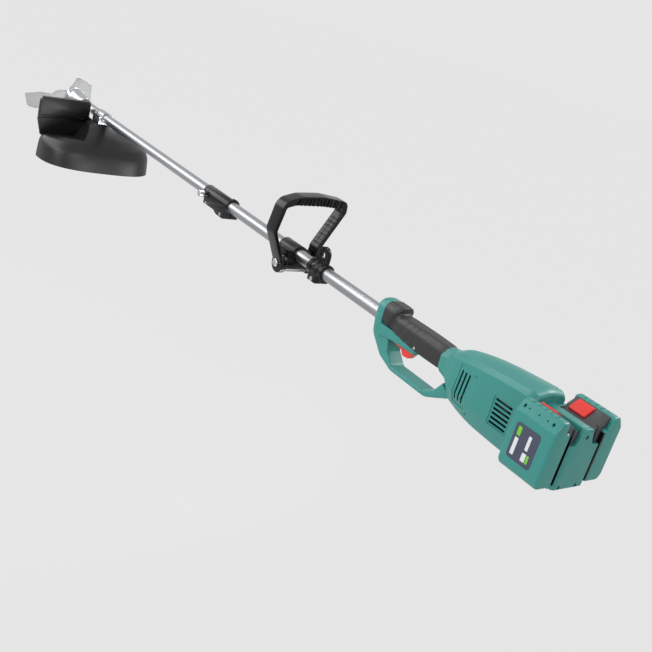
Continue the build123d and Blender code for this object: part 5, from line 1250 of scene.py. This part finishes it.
@dataclass
class MotorHousing:
    """Motor housing in two halves, with its vents.

    Each row of stations is x, half width, height of the roof's edge, height of its crest, half width of the
    roof, height of the shoulder, height of the floor, half width of the floor and the lower corners' radius.
    field_offsets are how far the corners of the shallow field lie from those of the tall vents.
    """

    front: float = 248.0
    rear: float = 442.0
    stations: Rows = (
        (front, 21.0, 20.0, 23.0, 12.0, 10.0, -20.5, 11.0, 9.0),
        (254.0, 22.0, 21.0, 24.4, 12.6, 11.0, -22.0, 11.2, 9.0),
        (262.0, 22.6, 22.0, 25.8, 13.0, 12.0, -25.0, 11.5, 9.0),
        (286.0, 32.0, 33.0, 38.0, 22.0, 26.0, -47.0, 16.0, 8.0),
        (350.0, 37.0, 42.5, 49.0, 28.5, 35.3, -57.0, 22.0, 8.0),
        (rear, 37.0, 49.8, 55.0, 30.0, 42.4, -60.0, 24.0, 8.0),
    )
    crease_round: float = 1.8
    crest_round: float = 60.0
    waist_share: float = 0.45
    wall: float = 2.8
    room_start: float = front + 16.0
    end_round: float = 16.0
    end_shrink: float = 0.55
    seam: float = 0.15
    side_reach: Point2 = (20.0, 60.0)
    vent_width: float = 3.8
    vent_round: float = 1.5
    tall_vents: tuple[float, ...] = (306.0, 314.0, 322.0)
    tall_span: Point2 = (-31.5, 17.0)
    tall_lean: float = 3.0
    long_vents: tuple[float, ...] = (-24.0, -17.0, -10.0, -3.0, 4.0, 11.0)
    long_span: Point2 = (382.0, 414.0)
    field_offsets: tuple[Point2, ...] = ((-7.0, -7.0), (7.0, -7.0), (13.0, 8.0), (-3.0, 8.0))
    grille_margins: Point2 = (3.0, 5.0)
    pocket_depth: float = 0.8
    dimples: tuple[Point2, ...] = ((338.0, 21.0), (333.0, -43.0))
    dimple_radius: float = 1.9
    screw_spots: tuple[Point2, ...] = ((286.0, 28.0), (290.0, -38.0), (428.0, 46.0), (428.0, -46.0))
    screw_spot_radius: float = 3.8
    screw_spot_span: Point2 = (14.8, 60.0)

    def build(self) -> None:
        """Hollow the loft, sink its fields, cut its vents and part it into halves."""
        whole = tube_of_rings("housing_whole", self._rings(self.front, self.rear, 0.0))
        inside = self._rings(self.room_start, self.rear - self.end_round, self.wall, False)
        carve(whole, [tube_of_rings("housing_room", inside)])
        carve(whole, [self._pockets()])
        spots = [prism("screw_spot", disc(self.screw_spot_radius, spot, 24), Along.Y, *self.screw_spot_span)
                 for spot in self.screw_spots]
        carve(whole, [merge("vents", self._slots() + spots)])
        wide = 99.0
        block = np.array([(100.0, -wide), (600.0, -wide), (600.0, wide), (100.0, wide)])
        for side in Side:
            half = link("housing_" + side.word + "_shell", whole.data.copy())
            keep = prism("side", block, Along.Y, *side.span(self.seam, wide))
            carve(half, [keep], Carve.KEEP)
            dress(half, TEAL_ABS, "frame", "teal_plastic", "housing_" + side.word)
        bpy.data.objects.remove(whole)

    def _rings(self, first: float, last: float, inset: float, round_end: bool = True) -> Array:
        """Work out sections of nine rounded corners, whose sizes ease along the housing.

        Towards the rounded rear end each section shrinks by a share of r - sqrt(r^2 - d^2), d being the way
        into the rounding. It shrinks evenly towards its middle, so that its creases stay crisp.

        Args:
            first: x of the first section.
            last: x of the last section.
            inset: how far the sections lie inside the outer ones.
            round_end: whether the rear end is rounded.

        Returns:
            The rings, m by n by 3.
        """
        bend = last - self.end_round
        end = last - self.end_round * (1 - np.sin(np.linspace(0.0, np.pi / 2, 14)))
        x = np.concatenate([np.linspace(first, bend, 70, endpoint=False), end])
        half, top, crest, flat, shoulder, low, low_flat, radius = eased(self.stations, x)
        near = self.waist_share * low
        corners = corner_rows(
            (-half, shoulder), (1 - half, near), (-low_flat, low), (low_flat, low), (half - 1, near),
            (half, shoulder), (flat, top), (0, crest), (-flat, top))
        crisp, soft = self.crease_round, self.crest_round
        radii = np.broadcast_arrays(crisp, radius, radius, radius, radius, crisp, crisp, soft, crisp)
        ring = round_corners(corners, np.stack(radii, axis=1))
        into = np.clip(x - bend, 0.0, self.end_round * 0.999)
        shrink = (self.end_round - np.sqrt(self.end_round ** 2 - into ** 2)) * self.end_shrink * round_end
        depth = shrink + inset
        middle, tall = (crest + low) / 2, (crest - low) / 2
        ring[..., 0] *= (1 - depth / half)[:, None]
        ring[..., 1] = middle[:, None] + (ring[..., 1] - middle[:, None]) * (1 - depth / tall)[:, None]
        return placed(ring, Along.X, x)

    def _slots(self) -> list[bpy.types.Object]:
        """Make the slots of both vents, on both sides.

        Returns:
            The closed cutting pieces.
        """
        half, lean = self.vent_width / 2, self.tall_lean
        low, high = self.tall_span
        first, last = self.long_span
        tall = [outline([(x - half, low), (x + half, low), (x + half + lean, high), (x - half + lean, high)],
                        self.vent_round) for x in self.tall_vents]
        level = [rectangle((first, z - half), (last, z + half), self.vent_round) for z in self.long_vents]
        return self._through_sides("vent", tall + level)

    def _pockets(self) -> bpy.types.Object:
        """Sink a shallow field round each vent and small dimples beside them, evenly below the surface.

        Returns:
            The closed cutting piece.
        """
        low, high = self.tall_span
        first, last = self.tall_vents[0], self.tall_vents[-1]
        vents = ((first, low), (last, low), (last, high), (first, high))
        field = outline([(x + dx, z + dz) for (x, z), (dx, dz) in zip(vents, self.field_offsets)], 4.0)
        fore, aft = self.long_span
        foot, head = self.long_vents[0], self.long_vents[-1]
        aside, above = self.grille_margins
        grille = rectangle((fore - aside, foot - above), (aft + aside, head + above), self.vent_round)
        dimples = [disc(self.dimple_radius, spot, 20) for spot in self.dimples]
        tools = self._through_sides("field", [field, grille] + dimples)
        sunk = tube_of_rings("sunk", self._rings(self.front, self.rear, self.pocket_depth))
        return carve(merge("fields", tools), [sunk])

    def _through_sides(self, name: str, lines: list[Array]) -> list[bpy.types.Object]:
        """Return prisms of outlines through both side walls."""
        return [prism(name, line, Along.Y, *side.span(*self.side_reach)) for side in Side for line in lines]


@dataclass
class BatteryDock:
    """Dock between the packs, with its rear cover and screws.

    Rows of the cover's face are y, z and the radius of the corner there.
    """

    cover: Point2 = (506.5, 512.5)
    cover_half: float = 33.5
    cover_face: Rows = ((-cover_half, -55, 5), (cover_half, -55, 5), (cover_half, 12, 3), (17, 13, 4),
                        (8.5, 36, 3), (-8.5, 36, 3), (-17, 13, 4), (-cover_half, 12, 3))
    cover_ease: float = 1.5
    cover_trims: Point2 = (1.4, 0.5)
    cover_bevels: Point2 = (9.0, 2.5)
    spots: tuple[Point2, ...] = ((0.0, 24.0), (-18.0, -51.5), (18.0, -51.5))
    spot_radius: float = 3.0
    guides: Point2 = (-25.0, 25.0)
    guide_half: float = 2.5
    guide_heights: Point2 = (-49.0, 4.0)
    dock_ease: float = 1.0
    screw_ease: float = 0.2

    def build(self) -> None:
        """Ease the dock and the screws, and make the cover."""
        eased_copy("battery_dock", self.dock_ease)
        eased_copy("rear_cover_screws", self.screw_ease, DARK_STEEL)
        self._cover()

    def _cover(self) -> None:
        """Rear cover with bevels at both sides: its face outline, kept where its plan outline allows."""
        (low, high), half = self.cover, self.cover_half
        left, right = self.cover_trims[0] - half, half - self.cover_trims[1]
        left_bevel, right_bevel = self.cover_bevels[0] - half, half - self.cover_bevels[1]
        face = rounded(self.cover_face)
        cover = prism("rear_cover_moulding", face, Along.X, low, high, 0.0, self.cover_ease)
        plan = np.array([(low - 1, left), (low + 1.5, left), (high, left_bevel), (high + 1, left_bevel),
                         (high + 1, right_bevel), (high, right_bevel), (high - 2, right), (low - 1, right)])
        carve(cover, [prism("plan", plan, Along.Z, -70.0, 60.0)], Carve.KEEP)
        spots = [prism("spot", disc(self.spot_radius, spot, 24), Along.X, high - 3, high + 2)
                 for spot in self.spots]
        carve(cover, [merge("spots", spots)])
        wide, (foot, head) = self.guide_half, self.guide_heights
        lines = [rectangle((y - wide, foot), (y + wide, head), 0.5) for y in self.guides]
        guides = [prism("guide", line, Along.X, low - 3, low + 1) for line in lines]
        carve(cover, guides, Carve.JOIN)
        dress(cover, TEAL_ABS, "frame", "teal_plastic", "rear_cover")


@dataclass
class BatteryPack:
    """Battery pack on one side of the dock, with its rail, its button and its label panel.

    Each label field is its name, its finish, two opposite corners, the corners' radius and how far it stands
    proud of the case.
    """

    side: Side
    front: float = 442.3
    rear: float = 512.5
    inner: float = 36.5
    outer: float = 71.0
    low: float = -50.0
    side_top: float = 34.0
    top: float = 49.0
    top_outer: float = 61.0
    ledge: Point2 = (46.3, 31.5)
    case_rounds: tuple[float, ...] = (4.0, 9.0, 11.0, 8.0, 7.0, 4.0, 4.0, 4.0)
    case_eases: Point2 = (3.5, 3.9)
    hole_height: float = 41.5
    hole_span: Point2 = (60.0, 80.0)
    big_holes: Point2 = (451.0, 501.0)
    big_hole_radius: float = 2.3
    small_holes: Point3 = (459.0, 476.0, 491.0)
    small_hole_radius: float = 1.1
    flutes: tuple[float, ...] = (456.0, 466.0, 476.0, 486.0, 496.0)
    flute_half: float = 1.2
    flute_depth: float = 0.9
    # The black plate between the case and the dock's cover is painted shade for the dark gap there
    edge_ends: Point2 = (4.0, 0.3)
    edge_reach: Point2 = (2.6, 2.0)
    edge_top: float = 27.0
    edge_ease: float = 0.2
    rim_start: float = BatteryDock.cover[0]
    rim_reach: float = 1.5
    rim_width: float = 0.9
    rim_step: float = 1.1
    groove_depths: Point2 = (4.2, 6.7)
    label_fields: tuple[tuple[str, Finish, Point2, Point2, float, float], ...] = (
        ("panel", LABEL_FILM, (453.0, -31.0), (495.0, 21.0), 5.0, 0.5),
        ("pale_bar", PALE_FILM, (458.0, -25.0), (464.0, 0.0), 0.8, 0.75),
        ("green_bar", GREEN_FILM, (458.0, 3.0), (464.0, 16.0), 0.8, 0.75),
        ("pale_block", PALE_FILM, (477.0, -25.0), (484.0, -13.0), 0.8, 0.75),
        ("green_block", GREEN_FILM, (485.0, -25.0), (489.0, -13.0), 0.8, 0.75),
        ("pale_line", PALE_FILM, (478.0, -9.0), (483.0, 12.0), 0.8, 0.75),
    )
    label_root: float = 0.6
    label_ease: float = 0.2
    rail_ease: float = 1.2
    button_ease: float = 0.8

    @property
    def body(self) -> str:
        """Return the body that the pack rides on."""
        return self.side.word + "_pack"

    def build(self) -> None:
        """Build the case and what it carries."""
        self._case()
        self._label()
        self._edge()
        eased_copy(self.body + "_rail", self.rail_ease, TRIM_ABS)
        eased_copy(self.side.word + "_release_button", self.button_ease)

    def _case(self) -> None:
        """Case with well rounded edges, a ledge for the rail, holes along its bevel and flutes on its top."""
        ledge_y, ledge_z = self.ledge
        line = [(self.inner, self.low), (self.outer - 5, self.low), (self.outer, self.low + 10),
                (self.outer, self.side_top), (self.top_outer, self.top), (ledge_y, self.top),
                (ledge_y, ledge_z), (self.inner, ledge_z)]
        ring = outline(line, self.case_rounds)
        ring[:, 0] *= self.side.value
        case = prism(self.body + "_shell", ring, Along.X, self.front, self.rear, *self.case_eases, 6)
        holes = [disc(self.big_hole_radius, (x, self.hole_height), 24) for x in self.big_holes]
        holes += [disc(self.small_hole_radius, (x, self.hole_height), 16) for x in self.small_holes]
        tools = [prism("hole", hole, Along.Y, *self.side.span(*self.hole_span)) for hole in holes]
        half, foot = self.flute_half, self.top - self.flute_depth
        across = self.side.span(ledge_y - 1.0, self.top_outer + 1.5)
        tools += [prism("flute", rectangle((x - half, foot), (x + half, 60.0), 0.3), Along.Y, *across)
                  for x in self.flutes]
        carve(case, [merge("pack_tools", tools)])
        dress(case, TEAL_ABS, self.body, "teal_plastic", self.body + "_case")

    def _edge(self) -> None:
        """Dark plate by the rail, with a rim beside a deep groove, between the case and the dock's cover: a black sheet
        of painted shade for the dark gap there.
        """
        fore, aft = self.front + self.edge_ends[0], self.rear - self.edge_ends[1]
        near, far = self.inner - self.edge_reach[0], self.inner + self.edge_reach[1]
        if self.side is Side.LEFT:
            start, floor = self.rim_start + self.edge_ends[1], aft - self.groove_depths[0]
            rim = near - self.rim_reach
            blocks = ((fore, floor, near, far), (start, floor, rim, far),
                      (start, aft, rim, rim + self.rim_width))
        else:
            blocks = ((fore, aft - self.groove_depths[1], near, far), (fore, aft, near + self.rim_step, far))
        plates = []
        for first, last, inside, outside in blocks:
            line = rectangle((first, self.low + 3), (last, self.edge_top), 0.4)
            span = self.side.span(inside, outside)
            name = self.side.word + "_rail_edge"
            plates.append(prism(name, line, Along.Y, *span, self.edge_ease, self.edge_ease))
        carve(plates[0], plates[1:], Carve.JOIN)
        # Black nylon on this plate is painted shade for the gap between case and cover
        dress(plates[0], BLACK_NYLON, self.body, "black_plastic")

    def _label(self) -> None:
        """Label panel with plain colour fields."""
        for word, finish, low, high, radius, proud in self.label_fields:
            line = rectangle(low, high, radius)
            span = self.side.span(self.outer - self.label_root, self.outer + proud)
            name = self.side.word + "_label_" + word
            field = prism(name, line, Along.Y, *span, self.label_ease, self.label_ease)
            dress(field, finish, self.body, "teal_plastic")


@dataclass
class SmallCastings:
    """Clamps, brackets and screws: plain shapes with their edges broken."""

    ease_mm: float = 0.7
    pieces: tuple[str, ...] = (
        "guard_bracket_upper", "guard_bracket_lower", "coupler_body", "coupler_lock_knob",
        "handle_clamp_upper", "handle_clamp_lower", "hanger_clamp", "handle_pivot_bolt", "handle_pivot_nut")

    def build(self) -> None:
        """Ease each one."""
        for node in self.pieces:
            eased_copy(node, self.ease_mm)


@dataclass
class Springs:
    """The two springs that give way when their joint moves."""

    ease_mm: float = 0.05
    pin_seat_mm: Point3 = (-525.0, -22.0, 0.0)
    pin_keep: float = 0.37
    leaf_seat_mm: Point3 = (159.0, 0.0, -7.0)
    leaf_keep: float = 0.25

    def build(self) -> None:
        """Let each one shorten towards its fixed end."""
        for node, joint, axis, seat, keep in (
                ("lock_pin_spring", "lock_pull", (0, 1, 0), self.pin_seat_mm, self.pin_keep),
                ("trigger_spring", "trigger_pull", (0, 0, 1), self.leaf_seat_mm, self.leaf_keep)):
            anchor = tuple(MM * value for value in seat)
            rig.squash(eased_copy(node, self.ease_mm), joint, axis=axis, anchor=anchor, keep=keep)


@dataclass(frozen=True)
class Lamp:
    """A soft rectangular lamp, sized in metres, whose light fills a beam of so many degrees."""

    name: str
    place: Point3
    size: Point2
    power: float
    aim: Point3
    beam: float = 180.0

    def hang(self) -> None:
        """Put the lamp into the scene, turned towards its aim."""
        data = bpy.data.lights.new(self.name, "AREA")
        data.shape = "RECTANGLE"
        data.size, data.size_y = self.size
        data.energy = self.power
        data.spread = np.radians(self.beam)
        lamp = bpy.data.objects.new(self.name, data)
        lamp.location = self.place
        toward = Vector(self.aim) - Vector(self.place)
        lamp.rotation_euler = toward.to_track_quat("-Z", "Y").to_euler()
        bpy.context.scene.collection.objects.link(lamp)


@dataclass
class Studio:
    """Camera, soft light and pale floor."""

    camera_mm: Point3 = (1074.3, -971.8, 455.3)
    right: Point3 = (0.554, 0.788, 0.266)
    up: Point3 = (-0.433, 0.0, 0.901)
    focal_px: float = 880.0
    sensor_mm: float = 36.0
    sight_m: float = 100.0
    floor_mm: float = -700.0
    floor_half_mm: float = 30000.0
    floor_roughness: float = 0.9
    floor_glow: float = 0.985
    pale: str = "E6E6E6"
    world_level: float = 0.34
    lamps: tuple[Lamp, ...] = (
        Lamp("key", (0.3, -3.0, 1.0), (1.8, 1.8), 42.0, (0.0, 0.0, 0.0)),
        Lamp("fill", (2.8, -0.9, 1.0), (1.4, 1.4), 26.0, (0.4, 0.0, 0.0)),
        Lamp("tube_strip", (-3.0, -1.22, 0.92), (4.4, 1.4), 64.0, (-3.0, 0.0, 0.0)),
        Lamp("roof_rim", (0.4, 2.0, 1.7), (0.7, 0.7), 2.5, (0.44, 0.0, 0.03), 44.0),
        Lamp("fan_rim", (-1.25, 1.15, 2.4), (1.1, 1.1), 4.2, (-1.15, 0.0, 0.0), 44.0),
        Lamp("bevel_rim", (-1.1, -0.5, 2.05), (0.6, 0.6), 0.32, (0.4, 0.0, 0.03), 26.0),
        Lamp("flap_rim", (-0.4, 0.75, -0.28), (0.4, 0.4), 3.6, (-1.2, -0.09, 0.0)),
        Lamp("skirt_rim", (-0.15, 0.06, -0.38), (0.3, 0.3), 5.0, (-1.08, -0.04, -0.11)),
    )

    def build(self) -> None:
        """Set up the studio."""
        self._camera()
        self._floor()
        self._light()
        bpy.context.scene.view_settings.view_transform = "Standard"

    def _camera(self) -> None:
        """Camera at the photograph's place, from its measured axes."""
        up = unit(np.array(self.up))
        right = np.array(self.right)
        right = unit(right - up * (right @ up))
        data = bpy.data.cameras.new("photo_camera")
        data.sensor_width = self.sensor_mm
        data.lens = self.focal_px / IMAGE_SIDE * self.sensor_mm
        data.clip_end = self.sight_m
        camera = bpy.data.objects.new("photo_camera", data)
        place = np.eye(4)
        place[:3, 0], place[:3, 1], place[:3, 2] = right, up, np.cross(right, up)
        place[:3, 3] = np.array(self.camera_mm) * MM
        camera.matrix_world = Matrix(place.tolist())
        bpy.context.scene.collection.objects.link(camera)
        bpy.context.scene.camera = camera

    def _floor(self) -> None:
        """Wide floor whose pale colour is the picture's background, with a faint shadow left on it."""
        side, z = self.floor_half_mm, self.floor_mm
        corners = np.array([(-side, -side, z), (side, -side, z), (side, side, z), (-side, side, z)])
        floor = new_piece("floor", corners, [[0, 1, 2, 3]])
        made = bpy.data.materials.new("pale_floor")
        made.use_nodes = True
        tree = made.node_tree
        matte = tree.nodes["Principled BSDF"]
        matte.inputs["Base Color"].default_value = linear(self.pale)
        matte.inputs["Roughness"].default_value = self.floor_roughness
        glow = add_node(tree, "ShaderNodeEmission", {"Color": linear(self.pale), "Strength": 1.0}, {})
        share = add_node(tree, "ShaderNodeMath", {"operation": "MULTIPLY"}, {0: self._seen(tree)})
        share.inputs[1].default_value = self.floor_glow
        mix = {0: share.outputs[0], 1: matte.outputs[0], 2: glow.outputs[0]}
        blend = add_node(tree, "ShaderNodeMixShader", {}, mix)
        tree.links.new(blend.outputs[0], tree.nodes["Material Output"].inputs["Surface"])
        floor.data.materials.append(made)
        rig.stage(floor)

    def _seen(self, tree: bpy.types.NodeTree) -> bpy.types.NodeSocket:
        """Tell the rays that show a surface from those that only carry its light.

        Args:
            tree: node tree that takes the nodes.

        Returns:
            A socket that is one for camera, glossy and transmitted rays.
        """
        path = add_node(tree, "ShaderNodeLightPath", {}, {})
        seen = path.outputs["Is Camera Ray"]
        for name in ("Is Glossy Ray", "Is Transmission Ray"):
            either = {0: seen, 1: path.outputs[name]}
            seen = add_node(tree, "ShaderNodeMath", {"operation": "MAXIMUM"}, either).outputs[0]
        return seen

    def _light(self) -> None:
        """Even pale world, weaker for the light that it sheds than for how it looks, and the lamps."""
        world = bpy.data.worlds.new("studio")
        world.use_nodes = True
        bpy.context.scene.world = world
        tree = world.node_tree
        sky = tree.nodes["Background"]
        sky.inputs["Color"].default_value = linear(self.pale)
        limits = {"To Min": self.world_level, "To Max": 1.0}
        level = add_node(tree, "ShaderNodeMapRange", limits, {"Value": self._seen(tree)})
        tree.links.new(level.outputs["Result"], sky.inputs["Strength"])
        for lamp in self.lamps:
            lamp.hang()


def write_sizes() -> None:
    boxes = {"cad": [list(map(float, corner)) for corner in CAD_BOX],
             "visual": [list(map(float, corner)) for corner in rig.bounds()]}
    with open(SIZE_FILE, "w", encoding="utf-8") as out:
        json.dump(boxes, out, indent=1)


def main() -> None:
    """Build every sub-assembly in order."""
    logging.basicConfig(level=logging.INFO, format="%(message)s")
    Studio().build()
    paint_nodes()
    assemblies = (CuttingHead(), Guard(), LoopHandle(), RearHandle(), MotorHousing(), BatteryPack(Side.LEFT),
                  BatteryPack(Side.RIGHT), BatteryDock(), SmallCastings(), Springs())
    for assembly in assemblies:
        assembly.build()
        LOG.info("%s done", type(assembly).__name__)
    write_sizes()


if __name__ == "__main__":
    main()
